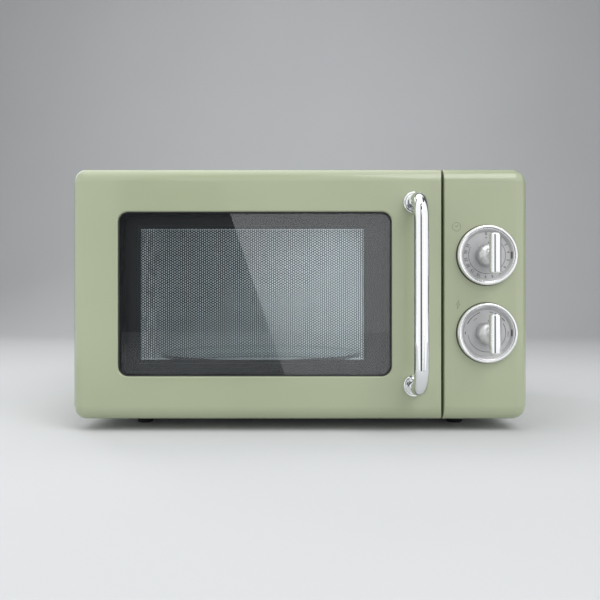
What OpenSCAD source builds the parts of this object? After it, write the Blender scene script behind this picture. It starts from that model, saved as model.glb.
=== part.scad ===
// Counter-top microwave oven: side-hinged door, two dials, turntable and the works beside the cavity.
// Millimetres. +Z is up and the door faces -Y.
// The origin is on the counter, under the middle of the whole box.

/* [Body] */
// Width of the door and control panel together, and of the cabinet behind them
body_w = 450; // [375:1:540]
// Height of the cabinet, without the feet
body_h = 247; // [206:1:297]
// Depth of the steel cabinet behind the door
cabinet_d = 297.5; // [250:0.5:357]
// Radius of the outline's corners, seen from the front
corner_r = 14; // [11.6:0.1:17]
// Radius rolled round the front edges of the door and control panel
roll_r = 17; // [14.1:0.1:20.5]
// Thickness of the painted sheet steel
sheet_t = 0.8; // [0.6:0.1:1]
// Height of the base above the counter
foot_h = 12; // [10:0.5:15]
// Radius of a foot where it meets the base
foot_r = 9; // [7.5:0.1:11]

/* [Door] */
// Thickness of the door, from its front face to its back face
door_t = 36; // [34:0.5:43.5]
// Wall of the moulded door frame and control panel
mould_t = 3; // [2.5:0.1:3.6]
// Thickness of the door frame's front wall
door_front_t = 4; // [3.3:0.1:4.8]
// Gap between the closed door and the cabinet
door_gap = 1.5; // [1.2:0.1:2]
// Gap between the door and the control panel
seam_gap = 1.6; // [1.2:0.1:2]
// Window's distance from the hinge side of the door
window_left = 46.3; // [38:0.1:56]
// Window's distance from the handle side of the door
window_right = 49.1; // [45:0.1:59]
// Window's distance from the top and the bottom of the door
window_edge = 42.7; // [35:0.1:52]
// Radius of the window's corners
window_r = 10; // [6:0.5:12]
// Thickness of the window glass
glass_t = 3; // [2.5:0.1:4]

/* [Handle] */
// Radius of the handle's rod
handle_r = 7; // [5.8:0.1:8.4]
// Distance of the rod's middle from the door's face
handle_reach = 40; // [33:0.5:48]
// Distance between the handle's two feet
handle_span = 179.2; // [150:0.1:215]
// Radius of the bends, at the rod's middle
handle_bend_r = 20; // [16:0.5:24]
// Distance of the handle's feet from the door's free edge
handle_inset = 27.4; // [25:0.1:33]

/* [Controls] */
// Width of the control panel
panel_w = 84.2; // [78:0.1:101]
// Outer radius of a dial's bezel
dial_r = 29.5; // [27:0.1:35]
// Distance between the middles of the two dials
dial_spacing = 76; // [70:0.5:91]
// Height of a knob's grip above the face of the panel
knob_reach = 33.5; // [28:0.5:40]
// Length of a knob's grip
grip_len = 38; // [32:0.5:45]
// Radius of a knob's grip
grip_r = 5.5; // [4.6:0.1:6.6]
// Radius of the control shafts
spindle_r = 3; // [2.5:0.1:3.6]

/* [Cavity] */
// Cavity's distance from the left side of the cabinet
cavity_left = 19.5; // [18:0.5:23]
// Width of the machine space, from the cavity's right wall to the side of the cabinet
machine_w = 115.5; // [112:0.5:138]
// Height of the cavity floor above the bottom of the cabinet
floor_rise = 26; // [25:0.5:31]
// Drop of the cavity roof below the top of the cabinet
roof_drop = 23; // [20:0.5:27]
// Distance of the cavity's back wall from the back of the cabinet
rear_gap = 15; // [12.5:0.5:18]
// Thickness of the cavity's sheet steel
cavity_t = 1; // [0.8:0.1:1.2]

/* [Turntable] */
// Gap between the edge of the turntable and the nearest cavity wall
plate_gap = 18.5; // [15:0.5:22]
// Height of the turntable's rim
plate_rim_h = 14; // [11:0.5:17]
// Diameter of the roller wheels
wheel_d = 14; // [12:0.5:16.5]
// Radius of the circle that the wheels run on
wheel_track_r = 87.5; // [75:0.5:92]

/* [Hidden] */
$fn = 64;

// Colours, as the finished object shows them
sage = [0.66, 0.71, 0.59];
steel = [0.72, 0.73, 0.74];
chrome = [0.85, 0.86, 0.88];
dial_silver = [0.7, 0.7, 0.7];
enamel = [0.78, 0.78, 0.76];
black = [0.09, 0.09, 0.1];
smoked = [0.12, 0.14, 0.16];
clear = [0.8, 0.88, 0.86];
white = [0.9, 0.9, 0.88];
copper = [0.72, 0.42, 0.22];
board_green = [0.16, 0.36, 0.22];
tan = [0.66, 0.56, 0.4];
aluminium = [0.78, 0.79, 0.8];

// Clearances
cut = 1;            // how far a cutting shape runs past what it cuts
seat_gap = 0.2;     // a panel inside the sheet that wraps it
run_gap = 0.05;     // a shaft in its bore, on the radius
free_gap = 0.3;     // a moving piece beside a fixed one
wheel_gap = 0.2;    // a roller wheel above the floor and under the turntable

// Levels across the whole oven
bush_flange_t = 3;
front_reach = handle_reach + handle_r;
whole_d = front_reach + door_t + door_gap + cabinet_d + bush_flange_t;
face_y = -whole_d / 2 + front_reach;    // front face of the door and panel
door_back_y = face_y + door_t;
cab_y = door_back_y + door_gap;         // front of the cabinet
back_y = cab_y + cabinet_d;             // back of the cabinet
left_x = -body_w / 2;
right_x = body_w / 2;
low_z = foot_h;
top_z = foot_h + body_h;
mid_z = foot_h + body_h / 2;

// Door and control panel
panel_x = right_x - panel_w;
door_right_x = panel_x - seam_gap;
window_x = [left_x + window_left, door_right_x - window_right];
window_z = [low_z + window_edge, top_z - window_edge];
glass_lap = 8;
glass_y = face_y + door_front_t;

// Cavity
plate_t = 1;                            // front plate that joins the cavity to the cabinet
cav_x = [left_x + cavity_left, right_x - machine_w];
cav_z = [low_z + floor_rise, top_z - roof_drop];
cav_back_y = back_y - rear_gap;
works_x = cav_x[1] + cavity_t;          // the machine space starts at the cavity wall's outer face
table_x = (cav_x[0] + cav_x[1]) / 2;
table_y = (cab_y + cav_back_y) / 2;

// Base
lip_w = 8;
base_t = 1;
base_z = low_z + sheet_t;               // underside of the base plate
works_z = base_z + base_t;              // the base plate's top, on which the works stand
pad_r = 13;
pad_h = 3;
foot_in_x = 60;
foot_front = 22;
foot_rear = 40;
foot_places = [for (x = [left_x + foot_in_x, right_x - foot_in_x],
    y = [cab_y + foot_front, back_y - foot_rear]) [x, y]];
front_dimple = [82, 20, 8];             // a pressed boss: its X, its distance behind the front, its radius

// Door's inner structure
choke_lap = [6.5, 8, 11, 8];            // past the cavity's left, right, bottom and top
choke_x = [cav_x[0] - choke_lap[0], cav_x[1] + choke_lap[1]];
choke_z = [cav_z[0] - choke_lap[2], cav_z[1] + choke_lap[3]];
steel_t = 1;
flange_y = door_back_y - 2;
choke_floor_y = face_y + 22;
screen_t = 0.8;
film_t = 0.6;
sight_x = [window_x[0] + 14, window_x[1] - 22];
sight_z = [window_z[0] + 11, window_z[1] - 11];
screen_lap = 7;
door_inner_gap = 0.5;

// Hinge
pin_r = 2.5;
pin_x = left_x + 9.5;
pin_y = face_y + 20;
tongue_r = 4.2;
tongue_t = 2.5;
tongue_gap = 0.7;
tongue_drop = 9;                        // from the top of the door to the tongue's upper face
boss_r = 5.5;
boss_h = 10;
bracket_t = 2;
bracket_h = 16;
bracket_x = [left_x + 2.5, cav_x[0] - cavity_t - 1];
tongue_z = [low_z + tongue_drop, top_z - tongue_drop];      // outer faces of the two tongues

// Latch
latch_travel = 4;
latch_x = [door_right_x - 17, door_right_x - 8];
latch_y = [face_y + 12, face_y + 18];
latch_half = 62;
hook_x = [latch_x[0] + 1.5, latch_x[0] + 6.5];
hook_places = [mid_z - 52, mid_z + 52];                     // lower face of a hook's arm when lifted
hook_h = 6;
hook_tip_y = cab_y + 22;
nose_y = hook_tip_y - 5;
catch_y = [nose_y - 5.5, nose_y - 0.5];
spring_r = 3;
spring_wire_r = 0.5;
spring_turns = 8;
spring_len = 20;

// Dials
dial_x = (panel_x + right_x) / 2;
dial_z = [mid_z + dial_spacing / 2, mid_z - dial_spacing / 2];   // timer, then power
bezel_h = 5.5;
bezel_lip = 3.5;
disc_r = dial_r - 6.6;
disc_t = 1.2;
knob_gap = 0.3;
dome_r = 11.5;
dome_y = face_y - bezel_h;
stem_r = 5;
stem_in = 6;
unit_y = face_y + 12;
unit_boss_r = 6;
unit_boss_len = 4;
timer_size = [52, 28, 52];
power_size = [46, 22, 46];
post_r = 3.5;
post_in = 5;

// Turntable
floor_z = cav_z[0];
table_z = floor_z + wheel_d;            // underside of the turntable
table_r = min(cav_x[1] - cav_x[0], cav_back_y - cab_y) / 2 - plate_gap;
table_t = 5;
wheel_r = wheel_d / 2 - wheel_gap;
wheel_w = 5;
axle_r = 2;
ring_r = wheel_track_r - 6;
ring_w = 7;
ring_t = 5;
motor_r = 24.5;
motor_h = 15;
drive_r = 3.5;
hub_r = 9;
wing_r = 20;
wing_t = 6;
lug_gap = 0.6;

// Transformer
core_size = [58, 96, 84];
core_leg = 16;
core_x = right_x - 55;
core_y = cab_y + 98;
core_foot_t = 2;
coil_wall = 13;
coil_gap = 1.5;
core_top_z = works_z + core_foot_t + core_size[2];
coil_top_z = core_top_z - core_leg;
works_gap = 4;                          // between units that stand one over another

// Waveguide and magnetron
guide_d = 24;
guide_y = [cab_y + 72, cab_y + 156];
guide_z = [max(top_z - 150, coil_top_z + works_gap), top_z - 45];
guide_mouth_y = [guide_y[0] + 8, guide_y[1] - 8];
guide_mouth_z = [guide_z[0] + 6, guide_z[0] + 48];
guide_x = works_x + guide_d;
tube_y = (guide_y[0] + guide_y[1]) / 2;
yoke_size = [46, 68, 74];
tube_z = max(top_z - 84, core_top_z + works_gap + yoke_size[2] / 2);
yoke_t = 2;
magnet_r = 27;
magnet_t = 8;
anode_r = 18;
fin_t = 0.8;
fin_count = 7;
antenna_r = 7.5;
filter_size = [27, 52, 58];

// Fan, seen from behind the cabinet
fan_r = 48;
fan_y = back_y - 75;
fan_x = (works_x + right_x - sheet_t) / 2;
fan_z = tube_z;
shroud_t = 1.5;
duct_len = 22;
fan_shaft_r = 2.5;
motor_size = [60, 22, 52];
fan_motor_y = fan_y + 32;
blade_count = 5;

// Capacitor and diode
cap_size = [88, 34, 50];
cap_x = fan_x - 4;
cap_y = back_y - 40;
cap_z = works_z + 4;
clamp_t = 1.2;
clamp_w = 14;

// Cord inlet
inlet_x = right_x - 40;
inlet_z = low_z + 118;
inlet_r = 3.8;
inlet_neck_r = 6;
inlet_flange_r = 10;
inlet_neck_len = 8;

// --- Shapes that repeat ---

// A box between its lowest and its highest corner
module box(low, high) {
    translate(low) cube(high - low);
}

// Cylinders that start at a point and run along +X, +Y or +Z
module rod_x(at, length, r) {
    translate(at) rotate([0, 90, 0]) cylinder(h = length, r = r);
}

module rod_y(at, length, r) {
    translate(at) rotate([-90, 0, 0]) cylinder(h = length, r = r);
}

module rod_z(at, length, r) {
    translate(at) cylinder(h = length, r = r);
}

// Extrusions: a flat shape in XZ run along Y, and one in YZ run along X
module along_y(y) {
    translate([0, y[1], 0]) rotate([90, 0, 0]) linear_extrude(y[1] - y[0]) children();
}

module along_x(x) {
    translate([x[0], 0, 0]) rotate([90, 0, 90]) linear_extrude(x[1] - x[0]) children();
}

// A rectangle with its own radius at each corner: low-low, high-low, high-high, low-high
module rounded_rect(u, v, radii) {
    corners = [[u[0], v[0], 1, 1], [u[1], v[0], -1, 1], [u[1], v[1], -1, -1], [u[0], v[1], 1, -1]];
    difference() {
        translate([u[0], v[0]]) square([u[1] - u[0], v[1] - v[0]]);
        for (i = [0:3]) if (radii[i] > 0) {
            c = corners[i];
            translate([c[0] + c[2] * radii[i] / 2, c[1] + c[3] * radii[i] / 2])
                square(radii[i], center = true);
        }
    }
    for (i = [0:3]) if (radii[i] > 0) {
        c = corners[i];
        translate([c[0] + c[2] * radii[i], c[1] + c[3] * radii[i]]) circle(r = radii[i]);
    }
}

// The cabinet's outline seen from the front, made smaller all round by inset
module outline(inset) {
    r = corner_r - inset;
    rounded_rect([left_x + inset, right_x - inset], [low_z + inset, top_z - inset], [r, r, r, r]);
}

// A moulded front: flat face, rolled over at the top, the bottom and its outer side
module rolled_front(x, y, z, outer_left, roll, corner, rear_round, edge_round) {
    left_corner = outer_left ? corner : 0;
    right_corner = outer_left ? 0 : corner;
    left_roll = outer_left ? roll : edge_round;
    right_roll = outer_left ? edge_round : roll;
    intersection() {
        along_y(y) rounded_rect(x, z, [left_corner, right_corner, right_corner, left_corner]);
        along_x(x) rounded_rect(y, z, [roll, 0, 0, roll]);
        translate([0, 0, z[0]]) linear_extrude(z[1] - z[0])
            rounded_rect(x, y, [left_roll, right_roll, 0, outer_left ? rear_round : 0]);
    }
}

// A row of slots, each rounded at its ends, cut along X through a wall
module slots_x(x, first, size, pitch, count) {
    for (i = [0:count - 1])
        along_x(x) rounded_rect([first[0] + i * pitch, first[0] + i * pitch + size[0]],
            [first[1], first[1] + size[1]], [1, 1, 1, 1]);
}

// The same, cut along Y
module slots_y(y, first, size, pitch, count) {
    for (i = [0:count - 1])
        along_y(y) rounded_rect([first[0] + i * pitch, first[0] + i * pitch + size[0]],
            [first[1], first[1] + size[1]], [1, 1, 1, 1]);
}

// A pan-head screw along +Y: head at the start, shank after it
module screw_y(at, head_r, head_h, shank_r, shank_len) {
    rod_y(at, head_h, head_r);
    rod_y([at[0], at[1] + head_h, at[2]], shank_len, shank_r);
}

// --- Cabinet ---

vent_slot = [3, 34];
vent_pitch = 7;
vent_count = 10;
vent_in = 95;           // from the back of the cabinet to the first slot
vent_drop = 70;         // from the top of the cabinet to the upper row
vent_rise = 28;         // from the bottom of the cabinet to the lower row

// Painted steel wrapper: both sides, the top, and a lip under each side
module outer_cabinet() {
    color(sage) difference() {
        along_y([cab_y, back_y]) outline(0);
        along_y([cab_y - cut, back_y + cut]) outline(sheet_t);
        box([left_x + corner_r + lip_w, cab_y - cut, low_z - cut],
            [right_x - corner_r - lip_w, back_y + cut, low_z + corner_r]);
        for (z = [top_z - vent_drop, low_z + vent_rise])
            slots_x([right_x - 2 * sheet_t, right_x + cut], [back_y - vent_in, z],
                vent_slot, vent_pitch, vent_count);
        slots_x([left_x - cut, left_x + 2 * sheet_t], [back_y - vent_in, top_z - vent_drop],
            vent_slot, vent_pitch, vent_count);
    }
}

rear_fix_x = 14;
rear_fix_half = 70;
rear_screw_places = [for (x = [left_x + rear_fix_x, right_x - rear_fix_x],
    z = [mid_z - rear_fix_half, mid_z + rear_fix_half]) [x, z]];

// Steel back, let into the wrapper, with the fan's intake slots and the cord's hole
module rear_panel() {
    color(sage) difference() {
        along_y([back_y - plate_t, back_y]) outline(sheet_t + seat_gap);
        for (row = [0, 1])
            slots_y([back_y - plate_t - cut, back_y + cut], [fan_x - 34, fan_z - 42 + row * 44],
                [4, 38], 9, 8);
        slots_y([back_y - plate_t - cut, back_y + cut], [cav_x[0] + 20, cav_z[1] - 45], [4, 30], 9, 6);
        rod_y([inlet_x, back_y - plate_t - cut, inlet_z], plate_t + 2 * cut, inlet_neck_r + seat_gap);
        for (p = rear_screw_places)
            rod_y([p[0], back_y - plate_t - cut, p[1]], plate_t + 2 * cut, 1.8 + run_gap);
    }
}

// Pressed steel floor of the cabinet, with a round pad over each foot
module base_plate() {
    half_w = body_w / 2 - corner_r - seat_gap;
    color(steel) difference() {
        union() {
            box([-half_w, cab_y + plate_t, base_z], [half_w, back_y - plate_t, works_z]);
            for (p = foot_places) rod_z([p[0], p[1], base_z - pad_h], pad_h + base_t, pad_r);
            rod_z([front_dimple[0], cab_y + front_dimple[1], base_z - pad_h + 1],
                pad_h - 1 + base_t, front_dimple[2]);
        }
        for (p = foot_places) rod_z([p[0], p[1], base_z - pad_h + base_t], pad_h + cut, pad_r - base_t);
        rod_z([front_dimple[0], cab_y + front_dimple[1], base_z - pad_h + 1 + base_t],
            pad_h + cut, front_dimple[2] - base_t);
        for (i = [0:7])
            box([core_x - 30, core_y + 56 + i * 8, base_z - cut],
                [core_x + 30, core_y + 60 + i * 8, works_z + cut]);
        for (i = [0:5])
            box([table_x - 25 + 60, table_y - 20 + i * 8, base_z - cut],
                [table_x + 25 + 60, table_y - 16 + i * 8, works_z + cut]);
    }
}

// Four moulded feet under the pads
module feet() {
    color(black) for (p = foot_places)
        translate([p[0], p[1], 0]) cylinder(h = base_z - pad_h, r1 = foot_r - 1, r2 = foot_r);
}

// Screws that hold the back into the wrapper's corners
module cabinet_screws() {
    color(steel) for (p = rear_screw_places)
        translate([0, 2 * back_y, 0]) mirror([0, 1, 0])
            screw_y([p[0], back_y - 2, p[1]], 3.6, 2, 1.8, 9);
}

// Steel front that joins the cavity's mouth to the cabinet, behind the door and the panel
module front_plate() {
    works_opening_x = [dial_x - 30, dial_x + 30];
    color(sage) difference() {
        along_y([cab_y, cab_y + plate_t]) outline(sheet_t + seat_gap);
        box([cav_x[0], cab_y - cut, cav_z[0]], [cav_x[1], cab_y + plate_t + cut, cav_z[1]]);
        box([works_opening_x[0], cab_y - cut, mid_z - 80],
            [works_opening_x[1], cab_y + plate_t + cut, mid_z + 80]);
        for (z = hook_places)
            box([hook_x[0] - 1.5, cab_y - cut, z - latch_travel - 1],
                [hook_x[1] + 4.5, cab_y + plate_t + cut, z + hook_h + 1]);
        for (z = [tongue_z[0] - seat_gap, tongue_z[1] - tongue_t - seat_gap])
            box([pin_x - tongue_r - seat_gap, cab_y - cut, z],
                [pin_x + tongue_r + seat_gap, cab_y + plate_t + cut, z + tongue_t + 2 * seat_gap]);
    }
}

// Bush in the back panel through which a mains cord is led
module cord_inlet() {
    color(black) difference() {
        union() {
            rod_y([inlet_x, back_y, inlet_z], bush_flange_t, inlet_flange_r);
            rod_y([inlet_x, back_y - inlet_neck_len, inlet_z], inlet_neck_len, inlet_neck_r);
            rod_y([inlet_x, back_y - inlet_neck_len, inlet_z], 3, inlet_neck_r + 1.5);
        }
        rod_y([inlet_x, back_y - inlet_neck_len - cut, inlet_z],
            inlet_neck_len + bush_flange_t + 2 * cut, inlet_r);
    }
}

// --- Cavity ---

lamp_y = fan_y - 26;
lamp_z = top_z - 52;

// Left wall, roof and right wall in one bent sheet
module cavity_walls() {
    color(enamel) difference() {
        box([cav_x[0] - cavity_t, cab_y + plate_t, cav_z[0]],
            [cav_x[1] + cavity_t, cav_back_y, cav_z[1] + cavity_t]);
        box([cav_x[0], cab_y, cav_z[0] - cut], [cav_x[1], cav_back_y + cut, cav_z[1]]);
        box([cav_x[1] - cut, guide_mouth_y[0], guide_mouth_z[0]],
            [works_x + cut, guide_mouth_y[1], guide_mouth_z[1]]);
        slots_x([cav_x[1] - cut, works_x + cut], [lamp_y - 12, lamp_z - 12], [2.4, 22], 5, 5);
        slots_x([cav_x[0] - cavity_t - cut, cav_x[0] + cut], [cab_y + 60, cav_z[1] - 40], [2.4, 22], 5, 8);
    }
}

// Cavity floor, with the drive's hole in the middle
module cavity_floor() {
    color(enamel) difference() {
        box([cav_x[0] - cavity_t, cab_y + plate_t, cav_z[0] - cavity_t],
            [cav_x[1] + cavity_t, cav_back_y, cav_z[0]]);
        rod_z([table_x, table_y, cav_z[0] - cavity_t - cut], cavity_t + 2 * cut, drive_r + 2);
    }
}

// Cavity's back wall
module cavity_back() {
    color(enamel)
        box([cav_x[0] - cavity_t, cav_back_y, cav_z[0] - cavity_t],
            [cav_x[1] + cavity_t, cav_back_y + cavity_t, cav_z[1] + cavity_t]);
}

// Duct on the cavity's right wall that leads from the magnetron to the cavity
module waveguide() {
    color(steel) difference() {
        box([works_x, guide_y[0], guide_z[0]], [guide_x, guide_y[1], guide_z[1]]);
        box([works_x - cut, guide_y[0] + 1, guide_z[0] + 1], [guide_x - 1, guide_y[1] - 1, guide_z[1] - 1]);
        rod_x([guide_x - 1 - cut, tube_y, tube_z], 1 + 2 * cut, antenna_r + 1.5);
    }
}

// Mica sheet over the waveguide's mouth, inside the cavity
module waveguide_cover() {
    color(tan) box([cav_x[1] - 0.6, guide_mouth_y[0] - 6, guide_mouth_z[0] - 6],
        [cav_x[1], guide_mouth_y[1] + 6, guide_mouth_z[1] + 6]);
}

lamp_x = works_x + 15;
bulb_r = 11;

// Glass bulb beside the cavity, hanging from its holder
module lamp_bulb() {
    color(clear) translate([lamp_x, lamp_y, lamp_z]) {
        sphere(r = bulb_r);
        cylinder(h = 18, r = 7);
    }
}

// Holder with the lamp's socket, screwed to the cavity wall
module lamp_holder() {
    socket_z = lamp_z + 18;
    color(steel) {
        box([works_x, lamp_y - 12, socket_z], [works_x + 1.2, lamp_y + 12, socket_z + 22]);
        box([works_x, lamp_y - 12, socket_z], [lamp_x + 10, lamp_y + 12, socket_z + 1.2]);
        rod_z([lamp_x, lamp_y, socket_z], 12, 9);
    }
}

// --- Turntable ---

// Synchronous motor under the cavity floor
module turntable_motor() {
    z = cav_z[0] - cavity_t;
    color(steel) difference() {
        union() {
            rod_z([table_x, table_y, z - motor_h], motor_h, motor_r);
            box([table_x - motor_r - 9, table_y - 6, z - 1.5], [table_x + motor_r + 9, table_y + 6, z]);
            box([table_x - 8, table_y - motor_r - 6, z - motor_h + 2], [table_x + 8, table_y, z - 3]);
        }
        rod_z([table_x, table_y, z - motor_h + 3], motor_h, drive_r + run_gap);
    }
}

// Motor's output shaft, flattened where the coupler sits
module turntable_shaft() {
    z = cav_z[0] - cavity_t - motor_h + 3.5;
    end_z = table_z - 3;
    color(white) difference() {
        rod_z([table_x, table_y, z], end_z - z, drive_r);
        box([table_x + drive_r - 1, table_y - drive_r, floor_z + 2],
            [table_x + drive_r + cut, table_y + drive_r, end_z + cut]);
    }
}

// Three-winged coupler that carries the turntable round
module turntable_coupler() {
    color(white) translate([table_x, table_y, 0]) difference() {
        union() {
            translate([0, 0, floor_z + free_gap]) cylinder(h = wheel_d - 2 * free_gap, r = hub_r);
            for (a = [30, 150, 270]) rotate([0, 0, a])
                box([0, -wing_t / 2, table_z - 7], [wing_r, wing_t / 2, table_z - free_gap]);
        }
        difference() {
            translate([0, 0, floor_z - cut]) cylinder(h = wheel_d - 3 + cut + 0.1, r = drive_r + run_gap);
            box([drive_r - 1 + run_gap, -drive_r, floor_z + 2.5], [drive_r + cut, drive_r, table_z]);
        }
    }
}

wheel_angles = [90, 210, 330];
wheel_z = floor_z + wheel_d / 2;

// Ring between the floor and the turntable, with an axle stub for each wheel
module roller_ring() {
    color(white) translate([table_x, table_y, wheel_z]) {
        rotate_extrude() translate([ring_r - ring_w, -ring_t / 2]) square([ring_w, ring_t]);
        for (a = wheel_angles) rotate([0, 0, a])
            rod_x([ring_r - ring_w / 2, 0, 0], ring_w / 2 + wheel_w + 4.5, axle_r);
    }
}

// One roller wheel, at its place on the ring
module roller_wheel(angle) {
    color(white) translate([table_x, table_y, wheel_z]) rotate([0, 0, angle])
        translate([wheel_track_r - wheel_w / 2, 0, 0]) rotate([0, 90, 0]) difference() {
            cylinder(h = wheel_w, r = wheel_r);
            translate([0, 0, -cut]) cylinder(h = wheel_w + 2 * cut, r = axle_r + run_gap);
        }
}

// Glass turntable with a raised rim, and lugs under it that sit between the coupler's wings
module turntable_plate() {
    color(clear) translate([table_x, table_y, 0]) {
        translate([0, 0, table_z]) rotate_extrude() polygon([
            [0, 0], [table_r - 24, 0], [table_r - 6, plate_rim_h - 6], [table_r, plate_rim_h - 4],
            [table_r, plate_rim_h], [table_r - 4, plate_rim_h], [table_r - 26, table_t], [0, table_t]]);
        for (a = [90, 210, 330]) rotate([0, 0, a])
            box([hub_r + lug_gap, -5, table_z - 5], [wing_r, 5, table_z + 1]);
    }
}

// --- Magnetron ---

yoke_x = guide_x;

// Steel yoke round the magnetron, with its two ring magnets
module magnetron_yoke() {
    y = [tube_y - yoke_size[1] / 2, tube_y + yoke_size[1] / 2];
    z = [tube_z - yoke_size[2] / 2, tube_z + yoke_size[2] / 2];
    end_x = yoke_x + yoke_size[0];
    color(steel) difference() {
        union() {
            difference() {
                box([yoke_x, y[0], z[0]], [end_x, y[1], z[1]]);
                box([yoke_x + yoke_t, y[0] - cut, z[0] + yoke_t],
                    [end_x - yoke_t, y[1] + cut, z[1] - yoke_t]);
            }
            for (x = [yoke_x + yoke_t, end_x - yoke_t - magnet_t])
                rod_x([x, tube_y, tube_z], magnet_t, magnet_r);
        }
        rod_x([yoke_x - cut, tube_y, tube_z], yoke_size[0] + 2 * cut, 13 + seat_gap);
    }
}

// Stack of cooling fins pressed onto the tube
module magnetron_fins() {
    start = yoke_x + yoke_t + magnet_t + 1;
    span = yoke_size[0] - 2 * (yoke_t + magnet_t + 1) - fin_t;
    color(aluminium) for (i = [0:fin_count - 1]) {
        x = start + span * i / (fin_count - 1);
        difference() {
            box([x, tube_y - yoke_size[1] / 2 + 4, tube_z - yoke_size[2] / 2 + yoke_t],
                [x + fin_t, tube_y + yoke_size[1] / 2 - 4, tube_z + yoke_size[2] / 2 - yoke_t]);
            rod_x([x - cut, tube_y, tube_z], fin_t + 2 * cut, anode_r);
        }
    }
}

// Anode, its two ceramic ends and the antenna that reaches into the waveguide
module magnetron_tube() {
    anode_x = yoke_x + yoke_t + magnet_t;
    anode_len = yoke_size[0] - 2 * (yoke_t + magnet_t);
    color(copper) {
        rod_x([anode_x, tube_y, tube_z], anode_len, anode_r);
        rod_x([yoke_x, tube_y, tube_z], yoke_size[0], 13);
        rod_x([yoke_x - 17, tube_y, tube_z], 17, antenna_r);
    }
}

// Filter box on the end of the magnetron, with its two terminals
module magnetron_filter_box() {
    x = yoke_x + yoke_size[0];
    color(steel) {
        box([x, tube_y - filter_size[1] / 2, tube_z - filter_size[2] / 2],
            [x + filter_size[0], tube_y + filter_size[1] / 2, tube_z + filter_size[2] / 2]);
        box([x + 6, tube_y - filter_size[1] / 2 - 8, tube_z - 12],
            [x + 20, tube_y - filter_size[1] / 2, tube_z + 12]);
    }
}

// --- High-voltage supply ---

// Laminated transformer core on its foot plate
module transformer_core() {
    z = works_z + core_foot_t;
    leg_gap = (core_size[1] - 4 * core_leg) / 2;
    color(steel) difference() {
        union() {
            box([core_x - core_size[0] / 2, core_y - core_size[1] / 2, z],
                [core_x + core_size[0] / 2, core_y + core_size[1] / 2, z + core_size[2]]);
            box([core_x - core_size[0] / 2, core_y - core_size[1] / 2 - 9, works_z],
                [core_x + core_size[0] / 2, core_y + core_size[1] / 2 + 9, z]);
        }
        for (side = [-1, 1])
            translate([core_x, core_y + side * (core_leg + leg_gap / 2), z + core_size[2] / 2])
                cube([core_size[0] + 2 * cut, leg_gap, core_size[2] - 2 * core_leg], center = true);
    }
}

// Primary and secondary windings, one above the other round the middle leg
module transformer_coils() {
    window_h = core_size[2] - 2 * core_leg;
    coil_h = (window_h - coil_gap) / 2 - 0.5;
    z = works_z + core_foot_t + core_leg + 0.25;
    x = [core_x - core_size[0] / 2 - coil_wall, core_x + core_size[0] / 2 + coil_wall];
    y = [core_y - core_leg - coil_wall, core_y + core_leg + coil_wall];
    color(copper) for (i = [0, 1]) translate([0, 0, z + i * (coil_h + coil_gap)]) difference() {
        linear_extrude(coil_h) rounded_rect(x, y, [8, 8, 8, 8]);
        box([core_x - core_size[0] / 2 - seat_gap, core_y - core_leg - seat_gap, -cut],
            [core_x + core_size[0] / 2 + seat_gap, core_y + core_leg + seat_gap, coil_h + cut]);
    }
}

cap_x_ends = [cap_x - cap_size[0] / 2, cap_x + cap_size[0] / 2];
cap_y_ends = [cap_y - cap_size[1] / 2, cap_y + cap_size[1] / 2];
cap_z_ends = [cap_z, cap_z + cap_size[2]];

// Oval high-voltage capacitor, lying along X, with two terminals on its end
module hv_capacitor() {
    r = cap_size[1] / 2 - 1;
    color(aluminium) {
        along_x(cap_x_ends) rounded_rect(cap_y_ends, cap_z_ends, [r, r, r, r]);
        for (z = [cap_z + 15, cap_z + 35])
            box([cap_x_ends[1], cap_y - 3, z - 0.4], [cap_x_ends[1] + 8, cap_y + 3, z + 0.4]);
    }
}

// Strap that holds the capacitor down on the base plate
module capacitor_clamp() {
    x = [cap_x - clamp_w / 2, cap_x + clamp_w / 2];
    r = cap_size[1] / 2 - 1;
    grow = clamp_t + seat_gap;
    color(steel) {
        difference() {
            along_x(x) rounded_rect([cap_y_ends[0] - grow, cap_y_ends[1] + grow],
                [cap_z_ends[0] - grow, cap_z_ends[1] + grow], [r + grow, r + grow, r + grow, r + grow]);
            along_x([x[0] - cut, x[1] + cut]) rounded_rect(
                [cap_y_ends[0] - seat_gap, cap_y_ends[1] + seat_gap],
                [cap_z_ends[0] - seat_gap, cap_z_ends[1] + seat_gap],
                [r + seat_gap, r + seat_gap, r + seat_gap, r + seat_gap]);
        }
        box([x[0], cap_y - 10, works_z], [x[1], cap_y + 10, cap_z - grow + clamp_t / 2]);
    }
}

// Diode between a capacitor terminal and the base plate
module hv_diode() {
    x = cap_x_ends[1] + 6;
    color(black) {
        rod_z([x, cap_y, works_z], 3, 1);
        rod_z([x, cap_y, works_z + 3], 11.6, 3);
        rod_z([x, cap_y, works_z + 14], cap_z + 15 - 0.4 - works_z - 14, 1);
    }
}

// --- Fan ---

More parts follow.
